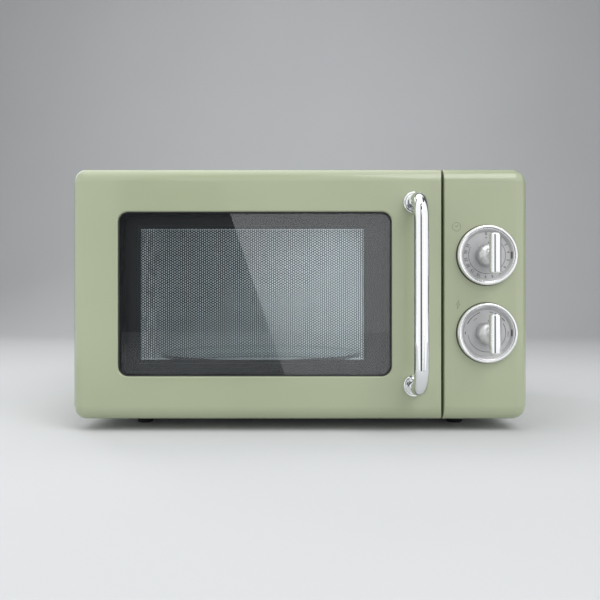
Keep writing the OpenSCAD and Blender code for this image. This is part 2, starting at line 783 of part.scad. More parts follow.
// Plate across the machine space with the fan's round duct and three arms to the motor
module fan_shroud() {
    right_inner = right_x - sheet_t - seat_gap;
    color(white) difference() {
        union() {
            box([works_x, fan_y, fan_z - fan_r - 12], [right_inner, fan_y + shroud_t, fan_z + fan_r + 12]);
            rod_y([fan_x, fan_y, fan_z], duct_len, fan_r + 4);
            for (side = [-1, 1]) translate([fan_x + side * (fan_r + 1), fan_y, fan_z])
                box([-2.5, 0, -6], [2.5, fan_motor_y - fan_y, 6]);
            box([fan_x - fan_r - 3.5, fan_motor_y - 3, fan_z - 6],
                [fan_x + fan_r + 3.5, fan_motor_y, fan_z + 6]);
            box([works_x + 6, fan_y, works_z], [works_x + 12, fan_y + 8, fan_z - fan_r - 12]);
            box([right_inner - 22, fan_y, works_z], [right_inner - 16, fan_y + 8, fan_z - fan_r - 12]);
        }
        rod_y([fan_x, fan_y - cut, fan_z], duct_len + 2 * cut, fan_r + 2);
        rod_y([fan_x, fan_motor_y - 3 - cut, fan_z], 3 + 2 * cut, fan_shaft_r + 3);
    }
}

// Shaded-pole motor behind the fan
module fan_motor() {
    y = [fan_motor_y, fan_motor_y + motor_size[1]];
    color(steel) difference() {
        union() {
            box([fan_x - motor_size[0] / 2, y[0] + 3, fan_z - motor_size[2] / 2],
                [fan_x + motor_size[0] / 2, y[1] - 3, fan_z + motor_size[2] / 2]);
            rod_y([fan_x, y[0], fan_z], motor_size[1], 13);
        }
        rod_y([fan_x, y[0] - cut, fan_z], motor_size[1] + 2 * cut, fan_shaft_r + run_gap);
    }
}

// Five pitched blades on a hub
module fan_blade() {
    hub = [fan_y + 4, fan_y + 20];
    color(white) translate([fan_x, 0, fan_z]) difference() {
        union() {
            rod_y([0, hub[0], 0], hub[1] - hub[0], 12);
            intersection() {
                rod_y([0, hub[0], 0], hub[1] - hub[0], fan_r);
                for (i = [0:blade_count - 1]) rotate([0, i * 360 / blade_count, 0])
                    translate([9, (hub[0] + hub[1]) / 2, 0]) rotate([30, 0, 0])
                        translate([0, -0.8, -15]) cube([fan_r, 1.6, 30]);
            }
        }
        rod_y([0, hub[0] - cut, 0], hub[1] - hub[0] + 2 * cut, fan_shaft_r);
    }
}

// Steel shaft that the blades and the motor's rotor turn on
module fan_shaft() {
    color(steel) rod_y([fan_x, fan_y + 2, fan_z], fan_motor_y + motor_size[1] + 2 - fan_y - 2, fan_shaft_r);
}

// --- Controls behind the panel ---

// A control unit: housing, nose round the spindle, and the bore that the spindle turns in
module control_unit(z, size) {
    difference() {
        union() {
            box([dial_x - size[0] / 2, unit_y, z - size[2] / 2],
                [dial_x + size[0] / 2, unit_y + size[1], z + size[2] / 2]);
            rod_y([dial_x, unit_y - unit_boss_len, z], unit_boss_len, unit_boss_r);
        }
        rod_y([dial_x, unit_y - unit_boss_len - cut, z],
            unit_boss_len + size[1] - 3 + cut, spindle_r + run_gap);
    }
}

// Clockwork timer with its bell on the side
module timer_unit() {
    color(steel) {
        control_unit(dial_z[0], timer_size);
        rod_y([dial_x, unit_y + timer_size[1], dial_z[0]], 7, 17);
    }
}

// Rotary power selector
module power_selector() {
    color(black) control_unit(dial_z[1], power_size);
}

// A control spindle, from inside its unit to inside its knob
module spindle(z, size) {
    start = face_y - bezel_h - 6;
    color(steel) rod_y([dial_x, start, z], unit_y + size[1] - 3.5 - start, spindle_r);
}

module timer_shaft() {
    spindle(dial_z[0], timer_size);
}

module power_shaft() {
    spindle(dial_z[1], power_size);
}

bracket_side_x = hook_x[1] + 7;

// Moulded bracket behind the front plate: the catches for the door's hooks, and the switches' wall
module interlock_bracket() {
    front_y = cab_y + plate_t;
    z = [mid_z - 72, mid_z + 72];
    color(white) {
        difference() {
            box([works_x + 1, front_y, z[0]], [bracket_side_x + 3, front_y + 2.5, z[1]]);
            for (h = hook_places)
                box([hook_x[0] - 1.5, front_y - cut, h - latch_travel - 1],
                    [hook_x[1] + 4.5, front_y + 2.5 + cut, h + hook_h + 1]);
        }
        box([bracket_side_x, front_y, z[0]], [bracket_side_x + 3, front_y + 40, z[1]]);
        for (h = hook_places)
            box([hook_x[0] - 1, catch_y[0], h - latch_travel - 8],
                [bracket_side_x, catch_y[1], h - latch_travel - 0.5]);
    }
}

switch_places = [mid_z + 40, mid_z - 8, mid_z - 40];

// Three door switches on the bracket's wall
module interlock_switches() {
    x = bracket_side_x + 3;
    color(black) for (z = switch_places) {
        box([x, cab_y + 8, z - 8], [x + 10, cab_y + 36, z + 8]);
        for (y = [cab_y + 14, cab_y + 22, cab_y + 30])
            box([x + 10, y - 0.4, z - 3], [x + 17, y + 0.4, z + 3]);
    }
}

board_y = [back_y - 13.6, back_y - 12];

// Mains filter board on posts at the back of the machine space
module filter_board() {
    x = [works_x + 14, right_x - 10];
    z = [top_z - 48, top_z - 8];
    color(board_green) {
        box([x[0], board_y[0], z[0]], [x[1], board_y[1], z[1]]);
        for (px = [x[0] + 5, x[1] - 5], pz = [z[0] + 5, z[1] - 5])
            rod_y([px, board_y[1], pz], back_y - plate_t - board_y[1], 2.5);
        rod_y([x[0] + 22, board_y[0] - 12, (z[0] + z[1]) / 2], 12, 10);
        box([x[0] + 40, board_y[0] - 9, z[0] + 8], [x[0] + 52, board_y[0], z[1] - 8]);
        box([x[0] + 60, board_y[0] - 7, z[0] + 10], [x[0] + 84, board_y[0], z[0] + 18]);
    }
}

// Thermal cut-outs on the magnetron's yoke and on the cavity wall
module thermal_cutouts() {
    color(black) {
        rod_z([yoke_x + 22, tube_y, tube_z + yoke_size[2] / 2], 8, 8);
        rod_x([works_x, tube_y, guide_z[0] - 14], 8, 8);
    }
}

// --- Control panel, dials and knobs ---

// Moulded panel, open at the back, with posts for the timer and the selector
module control_panel() {
    color(sage) {
        difference() {
            rolled_front([panel_x, right_x], [face_y, cab_y], [low_z, top_z],
                false, roll_r, corner_r, 0, 1.2);
            rolled_front([panel_x + mould_t, right_x - mould_t], [face_y + mould_t, cab_y + cut],
                [low_z + mould_t, top_z - mould_t], false, roll_r - mould_t, corner_r - mould_t, 0, 0);
            for (z = dial_z) rod_y([dial_x, face_y - cut, z], mould_t + 2 * cut, stem_r + free_gap);
        }
        for (i = [0, 1], sx = [-1, 1], sz = [-1, 1]) {
            size = i == 0 ? timer_size : power_size;
            rod_y([dial_x + sx * (size[0] / 2 - post_in), face_y + mould_t,
                dial_z[i] + sz * (size[2] / 2 - post_in)],
                unit_y - face_y - mould_t, post_r);
        }
    }
}

// Printed silver discs behind the knobs
module dial_plates() {
    color(dial_silver) for (z = dial_z) difference() {
        rod_y([dial_x, face_y - disc_t, z], disc_t, disc_r);
        rod_y([dial_x, face_y - disc_t - cut, z], disc_t + 2 * cut, stem_r + free_gap);
    }
}

// Chrome bezels: a rounded lip outside, a cone down to the disc inside
module dial_bezels() {
    color(chrome) for (z = dial_z) translate([dial_x, face_y, z]) rotate([90, 0, 0])
        rotate_extrude() polygon([
        [disc_r + seat_gap, 0], [dial_r, 0], [dial_r, bezel_h - 1.8], [dial_r - 0.6, bezel_h - 0.6],
        [dial_r - 1.8, bezel_h], [dial_r - bezel_lip + 0.6, bezel_h], [dial_r - bezel_lip, bezel_h - 0.6]]);
}

// A knob: domed hub, a neck with a bar across it to grip, and a stem bored for the spindle
module knob(z) {
    base_y = face_y - disc_t - knob_gap;
    grip_y = face_y - knob_reach + grip_r;
    color(chrome) difference() {
        union() {
            intersection() {
                translate([dial_x, dome_y, z]) sphere(r = dome_r);
                box([dial_x - dome_r, dome_y - dome_r, z - dome_r], [dial_x + dome_r, base_y, z + dome_r]);
            }
            rod_y([dial_x, base_y, z], face_y + stem_in - base_y, stem_r);
            rod_y([dial_x, grip_y, z], dome_y - grip_y, grip_r - 0.5);
            rod_z([dial_x, grip_y, z - grip_len / 2], grip_len, grip_r);
        }
        rod_y([dial_x, dome_y - 6.5, z], stem_in + bezel_h + 6.5 + cut, spindle_r + run_gap);
    }
}

module timer_knob() {
    knob(dial_z[0]);
}

module power_knob() {
    knob(dial_z[1]);
}

// --- Door ---

door_x = [left_x, door_right_x];
handle_x = door_right_x - handle_inset;
handle_z = [mid_z - handle_span / 2, mid_z + handle_span / 2];
rear_round_r = 6;
handle_head_r = 4.5;
handle_head_h = 3;
handle_screw_r = 2.4;

// Moulded front of the door, open at the back
module door_frame() {
    slot_z = [tongue_z[0] - tongue_gap, tongue_z[1] - tongue_t - tongue_gap];
    color(sage) {
        difference() {
            rolled_front(door_x, [face_y, door_back_y], [low_z, top_z],
                true, roll_r, corner_r, rear_round_r, 1.2);
            rolled_front([door_x[0] + mould_t, door_x[1] - mould_t],
                [face_y + door_front_t, door_back_y + cut],
                [low_z + mould_t, top_z - mould_t], true, roll_r - mould_t, corner_r - mould_t, 0, 0);
            along_y([face_y - cut, glass_y + cut])
                rounded_rect(window_x, window_z, [window_r, window_r, window_r, window_r]);
            for (z = slot_z)
                box([left_x - cut, pin_y - 7, z],
                    [pin_x + tongue_r + 1, door_back_y + cut, z + tongue_t + 2 * tongue_gap]);
            for (z = handle_z) {
                rod_y([handle_x, face_y - cut, z], door_front_t + 2 * cut, handle_screw_r + seat_gap);
                rod_y([handle_x, glass_y, z], handle_head_h + free_gap, handle_head_r + free_gap);
            }
        }
        for (z = [mid_z - latch_half + 10, mid_z + latch_half - 14])
            box([latch_x[0], glass_y, z], [latch_x[1], latch_y[0] - free_gap, z + 4]);
        box([latch_x[0], glass_y, mid_z + latch_half + spring_len],
            [latch_x[1], latch_y[1], mid_z + latch_half + spring_len + 3]);
    }
}

// Smoked window pane behind the frame's opening
module door_glass() {
    color(smoked) box([window_x[0] - glass_lap, glass_y, window_z[0] - glass_lap],
        [window_x[1] + glass_lap, glass_y + glass_t, window_z[1] + glass_lap]);
}

// Steel inside of the door: flange, the choke's channel round the sight opening, and the two hinge bosses
module door_inner_panel() {
    g = mould_t + door_inner_gap;
    r = corner_r - g;
    boss_z = [tongue_z[0] + tongue_t + free_gap, tongue_z[1] - tongue_t - free_gap - boss_h];
    color(steel) difference() {
        union() {
            difference() {
                along_y([flange_y, flange_y + steel_t])
                    rounded_rect([door_x[0] + g, door_x[1] - g], [low_z + g, top_z - g], [r, 0, 0, r]);
                box([choke_x[0], flange_y - cut, choke_z[0]],
                    [choke_x[1], flange_y + steel_t + cut, choke_z[1]]);
            }
            difference() {
                box([choke_x[0] - steel_t, choke_floor_y, choke_z[0] - steel_t],
                    [choke_x[1] + steel_t, flange_y + steel_t, choke_z[1] + steel_t]);
                box([choke_x[0], choke_floor_y + steel_t, choke_z[0]],
                    [choke_x[1], flange_y + steel_t + cut, choke_z[1]]);
                box([sight_x[0], choke_floor_y - cut, sight_z[0]],
                    [sight_x[1], choke_floor_y + steel_t + cut, sight_z[1]]);
            }
            for (z = boss_z) {
                rod_z([pin_x, pin_y, z], boss_h, boss_r);
                box([pin_x, pin_y - boss_r, z], [choke_x[0] + 2, choke_floor_y + steel_t, z + boss_h]);
            }
        }
        for (z = boss_z) rod_z([pin_x, pin_y, z - cut], boss_h + 2 * cut, pin_r + run_gap);
        for (z = [tongue_z[0] - tongue_gap, tongue_z[1] - tongue_t - tongue_gap])
            box([left_x, flange_y - cut, z],
                [pin_x + tongue_r + 1, flange_y + steel_t + cut, z + tongue_t + 2 * tongue_gap]);
        for (z = hook_places)
            box([hook_x[0] - 0.5, flange_y - cut, z - latch_travel - 1],
                [hook_x[1] + 0.5, flange_y + steel_t + cut, z + hook_h + 1]);
    }
}

// Screen sheet welded over the sight opening; it is finely perforated
module door_screen() {
    color(black) box([sight_x[0] - screen_lap, choke_floor_y + steel_t, sight_z[0] - screen_lap],
        [sight_x[1] + screen_lap, choke_floor_y + steel_t + screen_t, sight_z[1] + screen_lap]);
}

// Moulded frame that closes the choke's channel on the cavity side
module choke_cover() {
    g = 0.3;
    rim = 2;
    x = [choke_x[0] + g, choke_x[1] - g];
    z = [choke_z[0] + g, choke_z[1] - g];
    in_x = [sight_x[0] - screen_lap + 2, sight_x[1] + screen_lap - 2];
    in_z = [sight_z[0] - screen_lap + 2, sight_z[1] + screen_lap - 2];
    start_y = choke_floor_y + steel_t + screen_t + film_t;
    color(black) difference() {
        union() {
            box([x[0], flange_y, z[0]], [x[1], door_back_y, z[1]]);
            box([in_x[0] - rim, start_y, in_z[0] - rim], [in_x[1] + rim, flange_y, in_z[1] + rim]);
        }
        box([in_x[0], start_y - cut, in_z[0]], [in_x[1], door_back_y + cut, in_z[1]]);
    }
}

// Clear film over the cavity side of the screen
module screen_film() {
    y = choke_floor_y + steel_t + screen_t;
    color(clear) box([sight_x[0] - screen_lap + 1, y, sight_z[0] - screen_lap + 1],
        [sight_x[1] + screen_lap - 1, y + film_t, sight_z[1] + screen_lap - 1]);
}

// Chrome rod handle: a straight grip between two bent feet
module door_handle() {
    rod_y0 = face_y - handle_reach;
    half = handle_span / 2 - handle_bend_r;
    color(chrome) difference() {
        union() {
            rod_z([handle_x, rod_y0, mid_z - half], 2 * half, handle_r);
            for (side = [-1, 1]) {
                z = mid_z + side * handle_span / 2;
                rod_y([handle_x, rod_y0 + handle_bend_r, z], handle_reach - handle_bend_r, handle_r);
                translate([handle_x, rod_y0 + handle_bend_r, mid_z + side * half])
                    rotate([0, side == 1 ? -90 : 90, 0]) rotate([0, 0, -90])
                        rotate_extrude(angle = 90) translate([handle_bend_r, 0]) circle(r = handle_r);
            }
        }
        for (z = handle_z) rod_y([handle_x, face_y - 10, z], 10 + cut, 2.5);
    }
}

rosette_r = 10.75;
rosette_h = 4;

// Chrome rosettes round the handle's feet
module handle_rosettes() {
    color(chrome) for (z = handle_z) translate([handle_x, face_y, z]) rotate([90, 0, 0])
        rotate_extrude() polygon([
            [handle_r + run_gap, 0], [rosette_r, 0], [rosette_r, 1.6], [rosette_r - 0.9, 3],
            [rosette_r - 2.4, rosette_h], [handle_r + run_gap, rosette_h]]);
}

// Screws from inside the door into the handle's feet
module handle_screws() {
    color(steel) for (z = handle_z) translate([0, 2 * face_y, 0]) mirror([0, 1, 0])
        screw_y([handle_x, face_y - door_front_t - handle_head_h, z],
            handle_head_r, handle_head_h, handle_screw_r, door_front_t + 8);
}

// Sliding latch with two hooks, drawn lifted, as it is while the handle is pulled
module door_latch() {
    color(white) {
        box([latch_x[0], latch_y[0], mid_z - latch_half], [latch_x[1], latch_y[1], mid_z + latch_half]);
        for (z = hook_places) {
            box([hook_x[0], latch_y[1], z], [hook_x[1], hook_tip_y, z + hook_h]);
            box([hook_x[0], nose_y, z - latch_travel], [hook_x[1], hook_tip_y, z]);
        }
    }
}

// Points of one ring of a swept tube: centre, two directions across it, radius
function ring_points(centre, across, up, r, sides) =
    [for (i = [0:sides - 1]) centre + r * (cos(360 * i / sides) * across + sin(360 * i / sides) * up)];

// Coil spring that pushes the latch down, between its top and the frame's stop
module latch_spring() {
    sides = 8;
    steps = spring_turns * 16;
    coil_r = spring_r - spring_wire_r;
    pitch_len = spring_len - 2 * spring_wire_r - 2 * free_gap;
    start_z = mid_z + latch_half + spring_wire_r + free_gap;
    rings = [for (i = [0:steps]) let (a = 360 * i / 16)
        ring_points([coil_r * cos(a), coil_r * sin(a), pitch_len * i / steps], [cos(a), sin(a), 0], [0, 0, 1],
            spring_wire_r, sides)];
    points = [for (ring = rings) each ring];
    sides_faces = [for (i = [0:steps - 1], j = [0:sides - 1])
        [i * sides + j, i * sides + (j + 1) % sides, (i + 1) * sides + (j + 1) % sides, (i + 1) * sides + j]];
    first_cap = [[for (j = [sides - 1:-1:0]) j]];
    last_cap = [[for (j = [0:sides - 1]) steps * sides + j]];
    color(steel) translate([(latch_x[0] + latch_x[1]) / 2, (latch_y[0] + latch_y[1]) / 2, start_z])
        polyhedron(points, concat(sides_faces, first_cap, last_cap));
}

// Two steel brackets behind the front plate, each with a tongue and a pin that the door turns on
module hinge_brackets() {
    y = [cab_y + plate_t, cab_y + plate_t + bracket_t];
    color(steel) for (side = [0, 1]) {
        z = side == 0 ? tongue_z[0] : tongue_z[1] - tongue_t;
        plate_z = side == 0 ? [z, z + bracket_h] : [z + tongue_t - bracket_h, z + tongue_t];
        box([bracket_x[0], y[0], plate_z[0]], [bracket_x[1], y[1], plate_z[1]]);
        box([pin_x - tongue_r, pin_y, z], [pin_x + tongue_r, y[1], z + tongue_t]);
        rod_z([pin_x, pin_y, z], tongue_t, tongue_r);
        rod_z([pin_x, pin_y, side == 0 ? z : z - boss_h + 1], tongue_t + boss_h - 1, pin_r);
    }
}

// --- The nodes ---

outer_cabinet();
rear_panel();
base_plate();
feet();
cabinet_screws();
front_plate();
cord_inlet();
cavity_walls();
cavity_floor();
cavity_back();
waveguide();
waveguide_cover();
lamp_bulb();
lamp_holder();
turntable_motor();
turntable_shaft();
turntable_coupler();
roller_ring();
roller_wheel(wheel_angles[0]);  // roller_wheel_1
roller_wheel(wheel_angles[1]);  // roller_wheel_2
roller_wheel(wheel_angles[2]);  // roller_wheel_3
turntable_plate();
magnetron_yoke();
magnetron_fins();
magnetron_tube();
magnetron_filter_box();
transformer_core();
transformer_coils();
hv_capacitor();
capacitor_clamp();
hv_diode();
fan_shroud();
fan_motor();
fan_blade();
fan_shaft();
timer_unit();
timer_shaft();
power_selector();
power_shaft();
interlock_bracket();
interlock_switches();
filter_board();
thermal_cutouts();
control_panel();
dial_plates();
dial_bezels();
timer_knob();
power_knob();
door_frame();
door_glass();
door_inner_panel();
door_screen();
choke_cover();
screen_film();
door_handle();
handle_rosettes();
handle_screws();
door_latch();
latch_spring();
hinge_brackets();
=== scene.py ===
"""The looks of a counter-top microwave oven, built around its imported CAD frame.

Sizes are in metres, in the frame's own axes: the door faces -Y and +Z is up. Each sub-assembly
is a class that models its pieces with Blender's own operators and dresses them; the finishes are
small classes of their own.
"""

import logging
import math
from dataclasses import dataclass, field
from enum import Enum
from typing import Callable, Iterable, Sequence

import bpy
from bpy.types import Material, Mesh, MeshPolygon, Node, NodeSocket, Object
from mathutils import Matrix, Vector


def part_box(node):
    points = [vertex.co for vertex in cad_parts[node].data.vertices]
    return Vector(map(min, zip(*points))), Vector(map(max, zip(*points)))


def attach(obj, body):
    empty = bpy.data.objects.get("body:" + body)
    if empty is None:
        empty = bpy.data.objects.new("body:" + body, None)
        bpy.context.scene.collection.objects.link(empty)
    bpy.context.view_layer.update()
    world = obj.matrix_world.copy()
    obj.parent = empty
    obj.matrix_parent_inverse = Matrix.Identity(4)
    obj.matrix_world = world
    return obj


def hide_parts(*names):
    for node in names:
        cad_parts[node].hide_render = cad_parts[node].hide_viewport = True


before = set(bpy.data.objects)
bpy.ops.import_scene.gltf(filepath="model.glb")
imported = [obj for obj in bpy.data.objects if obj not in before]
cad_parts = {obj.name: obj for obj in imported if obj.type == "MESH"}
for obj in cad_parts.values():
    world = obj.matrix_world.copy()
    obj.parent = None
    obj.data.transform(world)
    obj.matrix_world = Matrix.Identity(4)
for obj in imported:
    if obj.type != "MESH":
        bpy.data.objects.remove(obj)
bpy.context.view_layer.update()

log = logging.getLogger("oven")
MM = 0.001
NEAR = 1e-6  # points closer than this are the same point
UP = Vector((0, 0, 1))
Colour = tuple[float, float, float]
Pair = tuple[float, float]


# --- What the frame says ---


class Body(Enum):
    """The rigid bodies of the frame that new pieces ride on."""

    OVEN = "oven"
    DOOR = "door"
    TIMER = "timer_control"
    POWER = "power_control"


class Slot(Enum):
    """The record's material slots that new pieces stand for."""

    SHEET = "sage_sheet"
    MOULDING = "sage_moulding"
    CHROME = "chrome"
    SMOKED = "smoked_glass"
    SCREEN = "screen_black"
    BLACK = "black_moulding"
    RUBBER = "foot_rubber"
    ZINC = "zinc_steel"


class Axis(Enum):
    """The direction that a turned shape or a rod runs in."""

    Y = (0.0, 1.0, 0.0)
    FRONT = (0.0, -1.0, 0.0)
    Z = (0.0, 0.0, 1.0)


@dataclass(frozen=True)
class Space:
    """The box that a CAD node holds at rest.

    Attributes:
        low: Its lowest corner.
        high: Its highest corner.
    """

    low: Vector
    high: Vector

    @classmethod
    def of(cls, *nodes: str) -> "Space":
        """Measures one or more CAD nodes.

        Args:
            nodes: The nodes' names.

        Returns:
            The box round all of them.
        """
        boxes = [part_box(node) for node in nodes]
        low = Vector([min(b[0][i] for b in boxes) for i in range(3)])
        high = Vector([max(b[1][i] for b in boxes) for i in range(3)])
        return cls(low, high)

    @property
    def middle(self) -> Vector:
        """The middle of the box."""
        return (self.low + self.high) / 2

    @property
    def size(self) -> Vector:
        """The box's three sides."""
        return self.high - self.low


# --- Materials ---


class Recipe:
    """A material's node graph, with short calls for the nodes that every finish uses."""

    def __init__(self, name: str) -> None:
        """Starts an empty material.

        Args:
            name: The material's name.
        """
        self.material: Material = bpy.data.materials.new(name)
        self.material.use_nodes = True
        self.nodes = self.material.node_tree.nodes
        self.links = self.material.node_tree.links
        self.shader: Node = self.nodes["Principled BSDF"]
        self.place: Node = self.nodes.new("ShaderNodeTexCoord")

    def link(self, source: NodeSocket, target: NodeSocket) -> None:
        """Joins two sockets."""
        self.links.new(source, target)

    def fixed(self, **values: float | Colour | tuple) -> None:
        """Sets sockets of the shader that are the same all over.

        Args:
            values: Socket names, with spaces written as underscores, and their values.
        """
        for name, value in values.items():
            self.shader.inputs[name.replace("_", " ")].default_value = value

    def stretched(self, scale: Sequence[float]) -> NodeSocket:
        """Object coordinates, stretched.

        Args:
            scale: The scale along each axis.

        Returns:
            The socket with the stretched coordinates.
        """
        node = self.nodes.new("ShaderNodeMapping")
        node.inputs["Scale"].default_value = tuple(scale)
        self.link(self.place.outputs["Object"], node.inputs["Vector"])
        return node.outputs["Vector"]

    def noise(self, scale: float, detail: float = 3.0,
              where: NodeSocket | None = None) -> NodeSocket:
        """Soft random mottling.

        Args:
            scale: Patches per metre.
            detail: How many finer layers it has.
            where: Coordinates to read, or None for the piece's own.

        Returns:
            The noise, from 0 to 1.
        """
        node = self.nodes.new("ShaderNodeTexNoise")
        node.inputs["Scale"].default_value = scale
        node.inputs["Detail"].default_value = detail
        self.link(where or self.place.outputs["Object"], node.inputs["Vector"])
        return node.outputs["Fac"]

    def cells(self, scale: float) -> NodeSocket:
        """Distance to the nearest of many scattered points.

        Args:
            scale: Cells per metre.

        Returns:
            The distance, 0 at each point.
        """
        node = self.nodes.new("ShaderNodeTexVoronoi")
        node.inputs["Scale"].default_value = scale
        self.link(self.place.outputs["Object"], node.inputs["Vector"])
        return node.outputs["Distance"]

    def bands(self, scale: float, along: str, warp: float) -> NodeSocket:
        """Bands across one axis.

        Args:
            scale: Bands per metre, roughly.
            along: X, Y or Z, the axis that they follow one another on.
            warp: How much they wander.

        Returns:
            The bands, from 0 to 1.
        """
        node = self.nodes.new("ShaderNodeTexWave")
        node.bands_direction = along
        node.inputs["Scale"].default_value = scale
        node.inputs["Distortion"].default_value = warp
        node.inputs["Detail"].default_value = 1.0
        self.link(self.place.outputs["Object"], node.inputs["Vector"])
        return node.outputs["Fac"]

    def ramp(self, source: NodeSocket, stops: Iterable[tuple[float, Colour]]) -> NodeSocket:
        """Turns a value into a colour.

        Args:
            source: The value.
            stops: Places from 0 to 1, each with its colour.

        Returns:
            The colour socket.
        """
        node = self.nodes.new("ShaderNodeValToRGB")
        places = list(stops)
        while len(node.color_ramp.elements) < len(places):
            node.color_ramp.elements.new(0.5)
        for element, (position, colour) in zip(node.color_ramp.elements, places):
            element.position = position
            element.color = (*colour, 1.0)
        self.link(source, node.inputs["Fac"])
        return node.outputs["Color"]

    def between(self, source: NodeSocket, low: float, high: float, start: float,
                end: float) -> NodeSocket:
        """Moves a value from one range to another.

        Args:
            source: The value.
            low: What the range's start becomes.
            high: What the range's end becomes.
            start: Where the source's range starts.
            end: Where the source's range ends.

        Returns:
            The new value.
        """
        node = self.nodes.new("ShaderNodeMapRange")
        ends = {"From Min": start, "From Max": end, "To Min": low, "To Max": high}
        for name, value in ends.items():
            node.inputs[name].default_value = value
        self.link(source, node.inputs["Value"])
        return node.outputs["Result"]

    def tone(self, source: NodeSocket, dark: Colour, light: Colour, start: float = 0.3,
             end: float = 0.7) -> None:
        """Colours the surface by a value.

        Args:
            source: The value.
            dark: The colour where the value is low.
            light: The colour where it is high.
            start: The value at which the first colour ends.
            end: The value at which the second one is reached.
        """
        colours = self.ramp(source, [(start, dark), (end, light)])
        self.link(colours, self.shader.inputs["Base Color"])

    def gloss(self, source: NodeSocket, low: float, high: float, start: float = 0.3,
              end: float = 0.7) -> None:
        """Makes the surface smoother and rougher by a value.

        Args:
            source: The value.
            low: The roughness where the value is low.
            high: The roughness where it is high.
            start: The value at which the roughness starts to change.
            end: The value at which it stops.
        """
        self.link(self.between(source, low, high, start, end), self.shader.inputs["Roughness"])

    def relief(self, height: NodeSocket, depth: float) -> None:
        """Raises the surface by a value.

        Args:
            height: The height, from 0 to 1.
            depth: How deep it is, in metres.
        """
        node = self.nodes.new("ShaderNodeBump")
        node.inputs["Distance"].default_value = depth
        node.inputs["Strength"].default_value = 1.0
        self.link(height, node.inputs["Height"])
        self.link(node.outputs["Normal"], self.shader.inputs["Normal"])


def shade(colour: Colour, factor: float) -> Colour:
    """A lighter or darker version of a colour.

    Args:
        colour: The colour, linear.
        factor: What each part is multiplied by.

    Returns:
        The new colour.
    """
    return tuple(min(1.0, c * factor) for c in colour)


@dataclass(frozen=True)
class Paint:
    """Satin paint or coloured moulding: faint orange peel, slow tonal drift and uneven gloss."""

    name: str
    colour: Colour
    roughness: float = 0.32
    peel: float = 0.000012
    peel_scale: float = 420.0
    drift: float = 0.035
    drift_scale: float = 7.0
    coat: float = 0.5
    coat_roughness: float = 0.06

    def material(self) -> Material:
        """Builds the material.

        Returns:
            The material.
        """
        mix = Recipe(self.name)
        dark, light = shade(self.colour, 1 - self.drift), shade(self.colour, 1 + self.drift)
        mix.tone(mix.noise(self.drift_scale, 2.0), dark, light)
        mix.gloss(mix.noise(55.0, 4.0), self.roughness - 0.04, self.roughness + 0.05)
        mix.relief(mix.noise(self.peel_scale, 2.0), self.peel)
        mix.fixed(Coat_Weight=self.coat, Coat_Roughness=self.coat_roughness, Specular_IOR_Level=0.5)
        return mix.material


@dataclass(frozen=True)
class Plated:
    """Polished or satin plated metal with the faint waviness and haze of a real plating."""

    name: str
    colour: Colour
    roughness: float = 0.05
    haze: float = 0.03
    wave: float = 0.000004

    def material(self) -> Material:
        """Builds the material.

        Returns:
            The material.
        """
        mix = Recipe(self.name)
        mix.tone(mix.noise(30.0), shade(self.colour, 0.97), self.colour)
        mix.gloss(mix.noise(160.0, 5.0), self.roughness, self.roughness + self.haze, 0.35)
        mix.relief(mix.noise(90.0, 2.0), self.wave)
        mix.fixed(Metallic=1.0)
        return mix.material


@dataclass(frozen=True)
class SatinDial:
    """Silver-lacquered dial: fine sparkle in a soft satin ground."""

    name: str
    colour: Colour
    roughness: float = 0.36
    metallic: float = 0.55
    sparkle: float = 0.000012
    sparkle_scale: float = 2600.0

    def material(self) -> Material:
        """Builds the material.

        Returns:
            The material.
        """
        mix = Recipe(self.name)
        sparkle = mix.noise(self.sparkle_scale, 2.0)
        mix.tone(mix.noise(60.0, 3.0), shade(self.colour, 0.93), shade(self.colour, 1.05))
        mix.gloss(sparkle, self.roughness, self.roughness + 0.16)
        mix.relief(sparkle, self.sparkle)
        mix.fixed(Metallic=self.metallic)
        return mix.material


@dataclass(frozen=True)
class Glass:
    """Clear or smoked glass, with the finger haze of a used pane."""

    name: str
    colour: Colour
    roughness: float = 0.0
    ior: float = 1.5
    mirror: float = 0.5

    def material(self) -> Material:
        """Builds the material.

        Returns:
            The material.
        """
        mix = Recipe(self.name)
        mix.tone(mix.noise(12.0), shade(self.colour, 0.95), self.colour, 0.35, 0.65)
        mix.gloss(mix.noise(40.0, 5.0), self.roughness, self.roughness + 0.02, 0.5, 0.8)
        mix.fixed(Transmission_Weight=1.0, IOR=self.ior, Specular_IOR_Level=self.mirror)
        return mix.material


@dataclass(frozen=True)
class Film:
    """Thin clear plastic film, a little hazy."""

    name: str
    colour: Colour
    alpha: float = 0.12

    def material(self) -> Material:
        """Builds the material.

        Returns:
            The material.
        """
        mix = Recipe(self.name)
        mix.tone(mix.noise(25.0), shade(self.colour, 0.9), self.colour)
        mix.gloss(mix.noise(70.0, 4.0), 0.12, 0.25)
        mix.fixed(Alpha=self.alpha)
        return mix.material


@dataclass(frozen=True)
class Moulded:
    """Fine-grained moulded plastic, rubber or printing ink."""

    name: str
    colour: Colour
    roughness: float = 0.5
    grain: float = 0.00003
    grain_scale: float = 1800.0

    def material(self) -> Material:
        """Builds the material.

        Returns:
            The material.
        """
        mix = Recipe(self.name)
        mix.tone(mix.noise(18.0), shade(self.colour, 0.9), shade(self.colour, 1.08))
        mix.gloss(mix.noise(90.0, 4.0), self.roughness - 0.06, self.roughness + 0.08)
        mix.relief(mix.cells(self.grain_scale), self.grain)
        return mix.material


